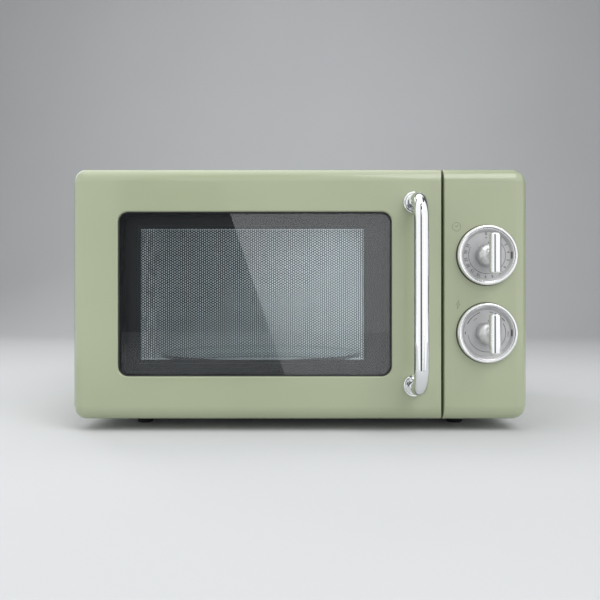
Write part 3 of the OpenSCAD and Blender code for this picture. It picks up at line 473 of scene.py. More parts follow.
@dataclass(frozen=True)
class ZincSheet:
    """Plated steel or aluminium, with its crystal spangle and faint rolling lines."""

    name: str
    colour: Colour
    spangle: float = 90.0
    line_depth: float = 0.000006

    def material(self) -> Material:
        """Builds the material.

        Returns:
            The material.
        """
        mix = Recipe(self.name)
        dark, light = shade(self.colour, 0.86), shade(self.colour, 1.06)
        mix.tone(mix.cells(self.spangle), dark, light, 0.0, 0.8)
        lines = mix.noise(60.0, 4.0, mix.stretched((40.0, 1.0, 40.0)))
        mix.gloss(lines, 0.28, 0.46)
        mix.relief(lines, self.line_depth)
        mix.fixed(Metallic=1.0)
        return mix.material


@dataclass(frozen=True)
class SpeckledEnamel:
    """Light cavity enamel with darker specks."""

    name: str
    ground: Colour
    speck: Colour
    speck_scale: float = 650.0
    peel: float = 0.00001

    def material(self) -> Material:
        """Builds the material.

        Returns:
            The material.
        """
        mix = Recipe(self.name)
        mix.tone(mix.cells(self.speck_scale), self.speck, self.ground, 0.10, 0.20)
        mix.gloss(mix.noise(40.0), 0.22, 0.34)
        mix.relief(mix.noise(380.0), self.peel)
        return mix.material


@dataclass(frozen=True)
class Banded:
    """A wound or laminated piece, whose turns or sheets show as fine lines."""

    name: str
    dark: Colour
    light: Colour
    pitch: float
    along: str
    metallic: float = 0.4
    depth: float = 0.0002
    wander: float = 0.3

    def material(self) -> Material:
        """Builds the material.

        Returns:
            The material.
        """
        mix = Recipe(self.name)
        turns = mix.bands(1.0 / self.pitch / 3.0, self.along, self.wander)
        mix.tone(turns, self.dark, self.light, 0.1, 0.6)
        mix.gloss(mix.noise(60.0), 0.35, 0.5)
        mix.relief(turns, self.depth)
        mix.fixed(Metallic=self.metallic)
        return mix.material


@dataclass(frozen=True)
class Flecked:
    """Mottled insulating sheet or a lacquered circuit board."""

    name: str
    dark: Colour
    light: Colour
    scale: float
    roughness: float = 0.45
    fleck: float = 0.00002

    def material(self) -> Material:
        """Builds the material.

        Returns:
            The material.
        """
        mix = Recipe(self.name)
        mix.tone(mix.noise(self.scale, 6.0), self.dark, self.light, 0.35, 0.65)
        mix.gloss(mix.noise(self.scale * 2), self.roughness - 0.08, self.roughness + 0.08)
        mix.relief(mix.noise(self.scale * 3, 4.0), self.fleck)
        return mix.material


class Palette:
    """Every finish of the oven, built once."""

    def __init__(self) -> None:
        """Builds the materials, and keeps them by name."""
        sage = (0.360, 0.400, 0.264)
        finishes = (
            Paint("sage_panel", sage),
            Paint("sage_sheet", sage, 0.36, peel=0.00002, peel_scale=300.0, coat=0.25),
            Plated("chrome", (0.86, 0.87, 0.88)),
            Plated("brushed", (0.62, 0.62, 0.63), roughness=0.24, haze=0.12),
            Plated("satin", (0.70, 0.70, 0.70), roughness=0.30, haze=0.06),
            SatinDial("cone", (0.56, 0.56, 0.565), 0.42, 0.40),
            Plated("bezel", (0.83, 0.835, 0.84), roughness=0.15, haze=0.03),
            SatinDial("dial", (0.48, 0.48, 0.485)),
            Moulded("print", (0.075, 0.075, 0.08), 0.5, 0.000002),
            Moulded("icon", (0.13, 0.15, 0.095), 0.5, 0.000002),
            Glass("smoked", (0.90, 0.935, 0.95), ior=1.6, mirror=0.9),
            Glass("clear", (0.93, 0.97, 0.96)),
            Film("film", (0.7, 0.72, 0.72)),
            SpeckledEnamel("enamel", (0.76, 0.765, 0.755), (0.36, 0.37, 0.38)),
            Moulded("screen", (0.006, 0.007, 0.008), 0.42, 0.000001, 900.0),
            Moulded("surround", (0.012, 0.014, 0.017), 0.5, 0.000002, 2600.0),
            Moulded("black", (0.022, 0.022, 0.024), 0.45),
            Moulded("rubber", (0.015, 0.015, 0.016), 0.75, 0.00006, 1200.0),
            Moulded("white", (0.74, 0.74, 0.71), 0.42),
            ZincSheet("zinc", (0.56, 0.57, 0.58)),
            Banded("core", (0.035, 0.035, 0.038), (0.11, 0.11, 0.115), 0.0005, "X"),
            ZincSheet("aluminium", (0.70, 0.71, 0.72), 300.0),
            Banded("copper", (0.16, 0.055, 0.02), (0.52, 0.22, 0.09), 0.0012, "Z", 0.75, 0.0003),
            Flecked("mica", (0.33, 0.25, 0.14), (0.60, 0.50, 0.34), 260.0),
            Flecked("board", (0.01, 0.07, 0.025), (0.02, 0.13, 0.05), 180.0, 0.3),
        )
        self._made = {finish.name: finish.material() for finish in finishes}

    def __getitem__(self, name: str) -> Material:
        """The material of that name."""
        return self._made[name]


# --- Modelling ---


class Bench:
    """Blender's modelling operators, each used from a clear selection."""

    FLAT = 0.4  # faces that meet at less than this, in degrees, are one flat
    FLAT_WEIGHT = 80  # how strongly large faces keep their own normals

    @staticmethod
    def clear() -> None:
        """Leaves edit mode and deselects everything."""
        if bpy.context.object is not None and bpy.context.object.mode != "OBJECT":
            bpy.ops.object.mode_set(mode="OBJECT")
        bpy.ops.object.select_all(action="DESELECT")

    @classmethod
    def alone(cls, piece: Object) -> None:
        """Selects one piece and makes it the active one.

        Args:
            piece: The piece.
        """
        cls.clear()
        piece.select_set(True)
        bpy.context.view_layer.objects.active = piece

    @classmethod
    def settle(cls, piece: Object) -> Object:
        """Moves a piece's place into its mesh, so that its object sits at the origin.

        Args:
            piece: The piece.

        Returns:
            The same piece.
        """
        cls.alone(piece)
        bpy.ops.object.transform_apply(location=True, rotation=True, scale=True)
        return piece

    @classmethod
    def block(cls, name: str, low: Sequence[float], high: Sequence[float]) -> Object:
        """A box between two corners.

        Args:
            name: The piece's name.
            low: Its lowest corner.
            high: Its highest corner.

        Returns:
            The piece.
        """
        cls.clear()
        low, high = Vector(low), Vector(high)
        middle = (low + high) / 2
        bpy.ops.mesh.primitive_cube_add(size=1.0, location=middle, scale=high - low)
        piece = bpy.context.object
        piece.name = name
        return cls.settle(piece)

    @classmethod
    def drum(cls, name: str, start: Sequence[float], axis: Axis, length: float, radius: float,
             sides: int = 48) -> Object:
        """A cylinder that starts at a point.

        Args:
            name: The piece's name.
            start: The middle of its first end.
            axis: The way it runs.
            length: How far it runs.
            radius: Its radius.
            sides: How many flats make the round.

        Returns:
            The piece.
        """
        cls.clear()
        way = Vector(axis.value)
        turn = UP.rotation_difference(way).to_euler()
        middle = Vector(start) + way * length / 2
        bpy.ops.mesh.primitive_cylinder_add(vertices=sides, radius=radius, depth=length,
                                            location=middle, rotation=turn)
        piece = bpy.context.object
        piece.name = name
        return cls.settle(piece)

    @classmethod
    def turned(cls, name: str, start: Sequence[float], axis: Axis, profile: Sequence[Pair],
               sides: int = 96, ring: bool = False) -> Object:
        """A turned shape: a circle, extruded and resized from each point of a profile to the next.

        Args:
            name: The piece's name.
            start: The point on the axis where heights are counted from.
            axis: The way the heights run.
            profile: Pairs of radius and height, in order along the outside.
            sides: How many flats make the round.
            ring: Whether the last point is the first again; the ends are filled otherwise.

        Returns:
            The piece.
        """
        cls.clear()
        radius, height = profile[0]
        bpy.ops.mesh.primitive_circle_add(vertices=sides, radius=radius, location=(0, 0, height),
                                          fill_type="NOTHING" if ring else "NGON")
        piece = bpy.context.object
        piece.name = name
        cls.settle(piece)
        cls.alone(piece)
        bpy.ops.object.mode_set(mode="EDIT")
        bpy.ops.mesh.select_mode(type="EDGE")
        bpy.ops.mesh.select_all(action="SELECT")
        for next_radius, next_height in profile[1:]:
            cls.extrude((0, 0, next_height - height))
            factor = next_radius / radius
            bpy.ops.transform.resize(value=(factor, factor, 1.0),
                                     center_override=(0, 0, next_height))
            radius, height = next_radius, next_height
        cls.tidy_normals()
        bpy.ops.object.mode_set(mode="OBJECT")
        piece.rotation_euler = UP.rotation_difference(Vector(axis.value)).to_euler()
        piece.location = start
        return cls.settle(piece)

    @staticmethod
    def extrude(shift: Sequence[float]) -> None:
        """In edit mode: extrudes what is selected, and moves it."""
        bpy.ops.mesh.extrude_region_move(TRANSFORM_OT_translate={"value": tuple(shift)})

    @staticmethod
    def tidy_normals() -> None:
        """In edit mode: merges doubled points and turns every face outwards."""
        bpy.ops.mesh.select_all(action="SELECT")
        bpy.ops.mesh.remove_doubles(threshold=NEAR)
        bpy.ops.mesh.normals_make_consistent(inside=False)

    @classmethod
    def pick_edges(cls, piece: Object, test: Callable[[Vector, Vector], bool]) -> int:
        """Selects, for edit mode, the edges whose two ends pass a test.

        Args:
            piece: The piece.
            test: Says yes or no for the two ends of an edge.

        Returns:
            How many edges are selected.
        """
        cls.alone(piece)
        bpy.ops.object.mode_set(mode="EDIT")
        bpy.ops.mesh.select_mode(type="EDGE")
        bpy.ops.mesh.select_all(action="DESELECT")
        bpy.ops.object.mode_set(mode="OBJECT")
        points = piece.data.vertices
        count = 0
        for edge in piece.data.edges:
            a, b = (points[i].co for i in edge.vertices)
            if test(a, b):
                edge.select = True
                count += 1
        bpy.ops.object.mode_set(mode="EDIT")
        return count

    @classmethod
    def pick_faces(cls, piece: Object, test: Callable[[MeshPolygon], bool]) -> None:
        """Selects, for edit mode, the faces that pass a test.

        Args:
            piece: The piece.
            test: Says yes or no for a face.
        """
        cls.alone(piece)
        bpy.ops.object.mode_set(mode="EDIT")
        bpy.ops.mesh.select_mode(type="FACE")
        bpy.ops.mesh.select_all(action="DESELECT")
        bpy.ops.object.mode_set(mode="OBJECT")
        for face in piece.data.polygons:
            if test(face):
                face.select = True
        bpy.ops.object.mode_set(mode="EDIT")

    @classmethod
    def round_edges(cls, piece: Object, test: Callable[[Vector, Vector], bool], radius: float,
                    segments: int) -> Object:
        """Bevels the edges that pass a test.

        Args:
            piece: The piece.
            test: Says yes or no for the two ends of an edge.
            radius: The bevel's radius.
            segments: How many flats make the round.

        Returns:
            The same piece.
        """
        if cls.pick_edges(piece, test):
            bpy.ops.mesh.bevel(offset=radius, offset_type="OFFSET", segments=segments,
                               profile=0.5, clamp_overlap=True)
        bpy.ops.object.mode_set(mode="OBJECT")
        return piece

    @classmethod
    def weighted_bevel(cls, piece: Object, weigh: Callable[[Vector, Vector], float],
                       widest: float, segments: int) -> Object:
        """Rounds several edges at once, each to its own radius, so that they blend where they meet.

        Args:
            piece: The piece.
            weigh: The radius for the two ends of an edge, or 0 to leave it sharp.
            widest: The widest radius.
            segments: How many flats make the round.

        Returns:
            The same piece.
        """
        weights = piece.data.attributes.new("bevel_weight_edge", "FLOAT", "EDGE")
        points = piece.data.vertices
        for edge, weight in zip(piece.data.edges, weights.data):
            a, b = (points[i].co for i in edge.vertices)
            weight.value = weigh(a, b) / widest
        bevel = piece.modifiers.new("roll", "BEVEL")
        bevel.limit_method = "WEIGHT"
        bevel.width = widest
        bevel.segments = segments
        bevel.use_clamp_overlap = False
        return cls.apply(piece)

    @classmethod
    def apply(cls, piece: Object) -> Object:
        """Applies all of a piece's modifiers.

        Args:
            piece: The piece.

        Returns:
            The same piece.
        """
        cls.alone(piece)
        for modifier in list(piece.modifiers):
            bpy.ops.object.modifier_apply(modifier=modifier.name)
        return piece

    @classmethod
    def cut(cls, piece: Object, *tools: Object) -> Object:
        """Cuts one or more pieces away from another, and throws them away.

        Args:
            piece: The piece that stays.
            tools: The pieces that cut.

        Returns:
            The piece that stays.
        """
        for tool in tools:
            boolean = piece.modifiers.new("cut", "BOOLEAN")
            boolean.operation = "DIFFERENCE"
            boolean.solver = "EXACT"
            boolean.object = tool
            cls.apply(piece)
            bpy.data.objects.remove(tool)
        return piece

    @classmethod
    def joined(cls, name: str, pieces: Sequence[Object]) -> Object:
        """Makes several pieces one.

        Args:
            name: The new piece's name.
            pieces: The pieces.

        Returns:
            The one piece.
        """
        cls.clear()
        for piece in pieces:
            piece.select_set(True)
        bpy.context.view_layer.objects.active = pieces[0]
        if len(pieces) > 1:
            bpy.ops.object.join()
        whole = bpy.context.object
        whole.name = name
        return whole

    @classmethod
    def copied(cls, piece: Object, name: str, shift: Sequence[float]) -> Object:
        """A copy with its own mesh, moved.

        Args:
            piece: The piece to copy.
            name: The copy's name.
            shift: How far the copy is moved.

        Returns:
            The copy.
        """
        cls.alone(piece)
        bpy.ops.object.duplicate(linked=False)
        twin = bpy.context.object
        twin.name = name
        twin.location = Vector(shift)
        return cls.settle(twin)

    @classmethod
    def node_copy(cls, node: str, name: str) -> Object:
        """A merged copy of a CAD node's mesh, to be softened.

        Args:
            node: The CAD node.
            name: The copy's name.

        Returns:
            The copy, which rides on nothing yet.
        """
        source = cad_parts[node]
        mesh: Mesh = source.data.copy()
        mesh.materials.clear()
        piece = bpy.data.objects.new(name, mesh)
        bpy.context.scene.collection.objects.link(piece)
        cls.alone(piece)
        bpy.ops.object.mode_set(mode="EDIT")
        bpy.ops.mesh.select_all(action="SELECT")
        bpy.ops.mesh.remove_doubles(threshold=NEAR)
        bpy.ops.mesh.dissolve_limited(angle_limit=math.radians(cls.FLAT))
        bpy.ops.object.mode_set(mode="OBJECT")
        return piece

    @classmethod
    def softened(cls, piece: Object, width: float, segments: int = 2,
                 angle: float = 35.0) -> Object:
        """Breaks every sharp edge with a small round.

        Args:
            piece: The piece.
            width: The round's width.
            segments: How many flats make it.
            angle: The least angle, in degrees, that counts as sharp.

        Returns:
            The same piece.
        """
        bevel = piece.modifiers.new("soften", "BEVEL")
        bevel.limit_method = "ANGLE"
        bevel.angle_limit = math.radians(angle)
        bevel.width = width
        bevel.segments = segments
        bevel.use_clamp_overlap = True
        return cls.apply(piece)

    @classmethod
    def smooth(cls, piece: Object, angle: float = 40.0, weighted: bool = True) -> Object:
        """Shades a piece smooth, keeping edges sharper than an angle.

        Args:
            piece: The piece.
            angle: The angle, in degrees.
            weighted: Whether large faces keep their own normals beside small rounds.

        Returns:
            The same piece.
        """
        cls.alone(piece)
        bpy.ops.object.shade_smooth_by_angle(angle=math.radians(angle))
        if weighted:
            weigh = piece.modifiers.new("weigh", "WEIGHTED_NORMAL")
            weigh.keep_sharp = True
            weigh.weight = cls.FLAT_WEIGHT
            cls.apply(piece)
        return piece


def dress(piece: Object, finish: Material, slot: Slot, body: Body, *replaced: str) -> Object:
    """Gives a finished piece its material and its body.

    Args:
        piece: The piece.
        finish: Its material.
        slot: The record's slot that it stands for; not used.
        body: The body that it rides on.
        replaced: The CAD nodes that it stands for.

    Returns:
        The same piece.
    """
    piece.data.materials.clear()
    piece.data.materials.append(finish)
    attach(piece, body.value)
    if replaced:
        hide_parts(*replaced)
    log.info("%s: %d faces", piece.name, len(piece.data.polygons))
    return piece


def rounded_tool(name: str, low: Vector, high: Vector, radius: float, flare: float = 0.0) -> Object:
    """A block with its four Y-wise edges rounded, and its front flared outwards for a soft rim.

    Args:
        name: The piece's name.
        low: The opening's lowest corner; low.y is the plane where the rim starts.
        high: The opening's highest corner.
        radius: The radius of its corners.
        flare: How far the rim rolls out, in X, Z and Y alike.

    Returns:
        The piece.
    """
    out = Vector((flare, 0, flare))
    start = low.y - 1 * MM if flare else low.y
    stop = low.y if flare else high.y
    tool = Bench.block(name, (low.x - out.x, start, low.z - out.z),
                       (high.x + out.x, stop, high.z + out.z))
    Bench.round_edges(tool, lambda a, b: abs(a.y - b.y) > NEAR, radius + flare, 10)
    if flare:
        Bench.pick_faces(tool, lambda face: face.normal.y > 0.9)
        steps = 5
        for step in range(1, steps + 1):
            last, now = math.pi / 2 * (step - 1) / steps, math.pi / 2 * step / steps
            inward = flare * (math.sin(now) - math.sin(last))
            deeper = flare * (math.cos(last) - math.cos(now))
            bpy.ops.mesh.inset(thickness=inward, depth=deeper, use_even_offset=True)
        Bench.extrude((0, high.y - low.y - flare, 0))
        bpy.ops.object.mode_set(mode="OBJECT")
    return tool


# --- The door ---


@dataclass
class MouldedFront:
    """A moulded front, rolled over at the top, the bottom and one side: door frame or panel."""

    name: str
    node: str
    body: Body
    outer_left: bool
    palette: Palette
    corner: float = 14 * MM
    roll: float = 13.6 * MM
    seam_edge: float = 1.2 * MM
    wall: float = 3 * MM
    front_wall: float = 4 * MM
    rear_round: float = 0.0
    openings: list[Object] = field(default_factory=list)

    def radius(self, a: Vector, b: Vector, space: Space, inset: float = 0.0) -> float:
        """The round for one edge of a block.

        Args:
            a: One end of the edge.
            b: Its other end.
            space: The block's box.
            inset: How far the block lies inside the front's outside.

        Returns:
            The radius, or 0.
        """
        return max(0.0, self.outer_radius(a, b, space) - inset)

    def outer_radius(self, a: Vector, b: Vector, space: Space) -> float:
        """The round for one edge of the outside block.

        Args:
            a: One end of the edge.
            b: Its other end.
            space: The block's box.

        Returns:
            The radius, or 0.
        """
        outer = space.low.x if self.outer_left else space.high.x
        seam = space.high.x if self.outer_left else space.low.x
        front = abs(a.y - space.low.y) < NEAR and abs(b.y - space.low.y) < NEAR
        if abs(a.y - b.y) > NEAR:
            return self.corner if abs(a.x - outer) < NEAR else 0.0
        if not front and abs(a.z - b.z) > NEAR:
            return self.rear_round if abs(a.x - outer) < NEAR else 0.0
        if front and abs(a.x - seam) < NEAR and abs(b.x - seam) < NEAR:
            return self.seam_edge
        return self.roll if front else 0.0

    def build(self) -> Object:
        """Models the front, hollow at the back, with its openings cut.

        Returns:
            The front.
        """
        space = Space.of(self.node)
        shell = Bench.block(self.name, space.low, space.high)
        Bench.weighted_bevel(shell, lambda a, b: self.radius(a, b, space), self.roll, 12)
        inner = Space(space.low + Vector((self.wall, self.front_wall, self.wall)),
                      space.high + Vector((-self.wall, 5 * MM, -self.wall)))
        hollow = Bench.block("hollow", inner.low, inner.high)
        Bench.weighted_bevel(hollow, lambda a, b: self.radius(a, b, inner, self.wall),
                             self.roll, 8)
        Bench.cut(shell, hollow, *self.openings)
        Bench.smooth(shell, 50.0)
        return dress(shell, self.palette["sage_panel"], Slot.MOULDING, self.body, self.node)


@dataclass
class Window:
    """The window: a black strip round its opening that paints the shadow gap between frame and
    pane, the smoked pane, the dark walls behind it and the perforated screen.
    """

    palette: Palette
    left: float = 46.3 * MM
    right: float = 49.1 * MM
    edge: float = 42.7 * MM
    corner: float = 10 * MM
    # the width of the black strip that paints the shadow gap round the opening
    seal: float = 1.1 * MM
    column_pitch: float = 2.15 * MM
    hole_pitch: float = 2.58 * MM
    hole_share: float = 0.61
    sheet_t: float = 0.5 * MM
    merge: float = 0.02 * MM
    field_size: Pair = (225.6 * MM, 132.3 * MM)

    # where each step of the surround starts and ends, as shares of its depth, and its wall in mm
    STEPS = ((0.0, 0.45, 2.2), (0.45, 0.86, 3.0), (0.86, 1.0, 4.2))

    def __post_init__(self) -> None:
        """Reads the door's box and works out the opening."""
        self.door = Space.of("door_frame")
        low, high = self.door.low, self.door.high
        self.low = Vector((low.x + self.left, low.y, low.z + self.edge))
        self.high = Vector((high.x - self.right, low.y + 8 * MM, high.z - self.edge))
        self.glass = Space.of("door_glass")
        self.screen = Space.of("door_screen")

    def opening(self) -> Object:
        """The tool that cuts the window's opening, with its soft rim."""
        return rounded_tool("window_tool", self.low, self.high, self.corner, 1.4 * MM)

    def hinge_slots(self) -> list[Object]:
        """The tools that cut the two slots for the hinge plates, at the door's rear left.

        Returns:
            The two tools.
        """
        hinge = Space.of("hinge_brackets")
        back = self.door.high.y + 1 * MM
        left = self.door.low.x
        return [Bench.block("slot_tool", (left - 1 * MM, hinge.low.y - 2.8 * MM, z - 0.7 * MM),
                            (left + 14.7 * MM, back, z + 3.2 * MM))
                for z in (hinge.low.z, hinge.high.z - 2.5 * MM)]

    def screw_holes(self) -> list[Object]:
        """The tools that drill the front wall for the handle's two screws.

        Returns:
            The two tools.
        """
        screws = Space.of("handle_screws")
        reach = (screws.high.x - screws.low.x) / 2
        x, y = screws.middle.x, self.door.low.y - 1 * MM
        return [Bench.drum("drill", (x, y, z), Axis.Y, 9 * MM, 2.6 * MM, 32)
                for z in (screws.low.z + reach, screws.high.z - reach)]

    def ring(self, name: str, front: float, back: float, wall: float, grow: float) -> Object:
        """A ring that follows the opening's outline.

        Args:
            name: The piece's name.
            front: Where it starts along Y.
            back: Where it ends along Y.
            wall: Its thickness, inwards.
            grow: How far its outside lies outside the opening.

        Returns:
            The ring.
        """
        out, inn = Vector((grow, 0, grow)), Vector((wall - grow, 0, wall - grow))
        low, high = self.low.copy(), self.high.copy()
        low.y, high.y = front, back
        ring = rounded_tool(name, low - out, high + out, self.corner + grow)
        reach = Vector((0, 1 * MM, 0))
        inner_corner = max(0.5 * MM, self.corner + grow - wall)
        inner = rounded_tool("ring_tool", low + inn - reach, high - inn + reach, inner_corner)
        return Bench.cut(ring, inner)

    def make_seal(self) -> None:
        """A black strip that lines the opening in front of the glass, painted shade for the shadow
        gap between frame and pane.
        """
        front, back = self.door.low.y + 1.9 * MM, self.glass.low.y - 0.05 * MM
        # painted shade: the black strip stands for the shadow gap between frame and pane
        seal = self.ring("window_shade_strip", front, back, self.seal, -0.02 * MM)
        Bench.softened(seal, 0.3 * MM, 2)
        Bench.smooth(seal)
        dress(seal, self.palette["black"], Slot.BLACK, Body.DOOR)

    def make_pane(self) -> None:
        """The smoked pane, with ground edges."""
        pane = rounded_tool("window_pane", self.glass.low, self.glass.high, 8 * MM)
        Bench.softened(pane, 0.4 * MM, 2)
        Bench.smooth(pane)
        dress(pane, self.palette["smoked"], Slot.SMOKED, Body.DOOR, "door_glass")

    def make_surround(self) -> None:
        """The dark stepped walls between the pane and the screen."""
        start, stop = self.glass.high.y + 0.1 * MM, self.screen.low.y - 1.1 * MM
        deep = stop - start
        steps = [self.ring(f"surround_{i}", start + deep * a, start + deep * b, wall * MM, 1.4 * MM)
                 for i, (a, b, wall) in enumerate(self.STEPS)]
        surround = Bench.joined("window_surround", steps)
        Bench.smooth(surround)
        dress(surround, self.palette["surround"], Slot.BLACK, Body.DOOR)

    def make_holes(self) -> None:
        """The perforated sheet: one six-sided cell, repeated in staggered columns."""
        width, height = self.field_size
        cell_r = self.hole_pitch / math.sqrt(3)
        squeeze = self.column_pitch / (1.5 * cell_r)
        columns, rows = round(width / self.column_pitch), round(height / self.hole_pitch)
        Bench.clear()
        bpy.ops.mesh.primitive_circle_add(vertices=6, radius=cell_r, fill_type="NGON",
                                          rotation=(math.pi / 2, math.pi / 2, 0))
        cell = bpy.context.object
        cell.name = "screen_holes"
        Bench.settle(cell)
        Bench.alone(cell)
        bpy.ops.object.mode_set(mode="EDIT")
        bpy.ops.mesh.select_mode(type="FACE")
        bpy.ops.mesh.select_all(action="SELECT")
        bpy.ops.mesh.inset(thickness=cell_r * math.cos(math.pi / 6) * (1 - self.hole_share))
        bpy.ops.mesh.delete(type="FACE")
        bpy.ops.mesh.select_all(action="SELECT")
        bpy.ops.transform.resize(value=(squeeze, 1, 1), center_override=(0, 0, 0))
        next_column = (self.column_pitch, 0, self.hole_pitch / 2)
        bpy.ops.mesh.duplicate_move(TRANSFORM_OT_translate={"value": next_column})
        bpy.ops.object.mode_set(mode="OBJECT")
        for name, count, step in (("rows", rows, (0, 0, self.hole_pitch)),
                                  ("columns", columns // 2 + 1, (2 * self.column_pitch, 0, 0))):
            array = cell.modifiers.new(name, "ARRAY")
            array.count = count
            array.use_relative_offset = False
            array.use_constant_offset = True
            array.constant_offset_displace = step
            array.use_merge_vertices = True
            array.merge_threshold = self.merge
            Bench.apply(cell)
        Bench.alone(cell)
        bpy.ops.object.mode_set(mode="EDIT")
        bpy.ops.mesh.select_all(action="SELECT")
        bpy.ops.mesh.remove_doubles(threshold=self.merge)
        bpy.ops.object.mode_set(mode="OBJECT")
        thick = cell.modifiers.new("sheet", "SOLIDIFY")
        thick.thickness = self.sheet_t
        Bench.apply(cell)
        points = [v.co for v in cell.data.vertices]
        low = Vector([min(point[i] for point in points) for i in range(3)])
        high = Vector([max(point[i] for point in points) for i in range(3)])
        cell.location = self.screen.middle - (low + high) / 2
        Bench.settle(cell)
        Bench.alone(cell)
        bpy.ops.object.mode_set(mode="EDIT")
        Bench.tidy_normals()
        bpy.ops.object.mode_set(mode="OBJECT")
        dress(cell, self.palette["screen"], Slot.SCREEN, Body.DOOR, "door_screen")

    def make_border(self) -> None:
        """The screen's plain border, round the field of holes."""
        width, height = self.field_size
        reach = Vector((width / 2, 5 * MM, height / 2))
        middle = self.screen.middle
        border = Bench.block("screen_border", self.screen.low, self.screen.high)
        Bench.cut(border, Bench.block("border_tool", middle - reach, middle + reach))
        Bench.smooth(border)
        dress(border, self.palette["screen"], Slot.SCREEN, Body.DOOR)

    def build(self) -> None:
        """Models the whole window behind the door's frame."""
        self.make_seal()
        self.make_pane()
        self.make_surround()
        self.make_holes()
        self.make_border()


@dataclass
class BarHandle:
    """The chrome bar with its two bends, and the rosettes where it meets the door."""

    palette: Palette
    radius: float = 7 * MM
    bend: float = 20 * MM
    bend_steps: int = 20
    rosette: float = 10.75 * MM

    # the rosette's outside, in mm: how far in from its rim, and how far out from the door
    ROSETTE = ((0.3, 0.05), (0.0, 0.35), (0.0, 1.5), (0.25, 2.1), (0.9, 2.5), (1.6, 2.4),
               (1.75, 2.1), (1.9, 2.4), (2.05, 3.5), (2.4, 3.9))

    def turn_bend(self, middle: Sequence[float]) -> None:
        """In edit mode: sweeps the bar's open end through a quarter turn about X."""
        bpy.ops.mesh.spin(steps=self.bend_steps, angle=math.pi / 2, center=tuple(middle),
                          axis=(1, 0, 0))

    def build(self) -> None:
        """Sweeps the bar from foot to foot and turns the rosettes."""
        space = Space.of("door_handle")
        x = space.middle.x
        base, out = space.high.y, space.low.y + self.radius
        low, high = space.low.z + self.radius, space.high.z - self.radius
        Bench.clear()
        bpy.ops.mesh.primitive_circle_add(vertices=48, radius=self.radius, location=(x, base, low),
                                          rotation=(math.pi / 2, 0, 0), fill_type="NGON")
        bar = bpy.context.object
        bar.name = "handle_bar"
        Bench.settle(bar)
        Bench.alone(bar)
        bpy.ops.object.mode_set(mode="EDIT")
        bpy.ops.mesh.select_mode(type="FACE")
        bpy.ops.mesh.select_all(action="SELECT")
        elbow = out + self.bend
        legs = base - elbow
        Bench.extrude((0, -legs, 0))
        self.turn_bend((x, elbow, low + self.bend))
        Bench.extrude((0, 0, high - low - 2 * self.bend))
        self.turn_bend((x, elbow, high - self.bend))
        Bench.extrude((0, legs, 0))
        Bench.tidy_normals()
        bpy.ops.object.mode_set(mode="OBJECT")
        Bench.smooth(bar, 60.0, weighted=False)
        dress(bar, self.palette["chrome"], Slot.CHROME, Body.DOOR, "door_handle")
        bore = self.radius + 0.06 * MM
        foot = (bore, 0.05 * MM)
        rim = [(self.rosette - inset * MM, height * MM) for inset, height in self.ROSETTE]
        profile = [foot, *rim, (bore + 0.2 * MM, 3.95 * MM), (bore, 3.8 * MM), foot]
        lower = Bench.turned("rosette", (x, base, low), Axis.FRONT, profile, ring=True)
        upper = Bench.copied(lower, "rosette_upper", (0, 0, high - low))
        rosettes = Bench.joined("handle_rosette_pair", [lower, upper])
        Bench.smooth(rosettes, 35.0, weighted=False)
        dress(rosettes, self.palette["chrome"], Slot.CHROME, Body.DOOR, "handle_rosettes")


# --- The controls ---


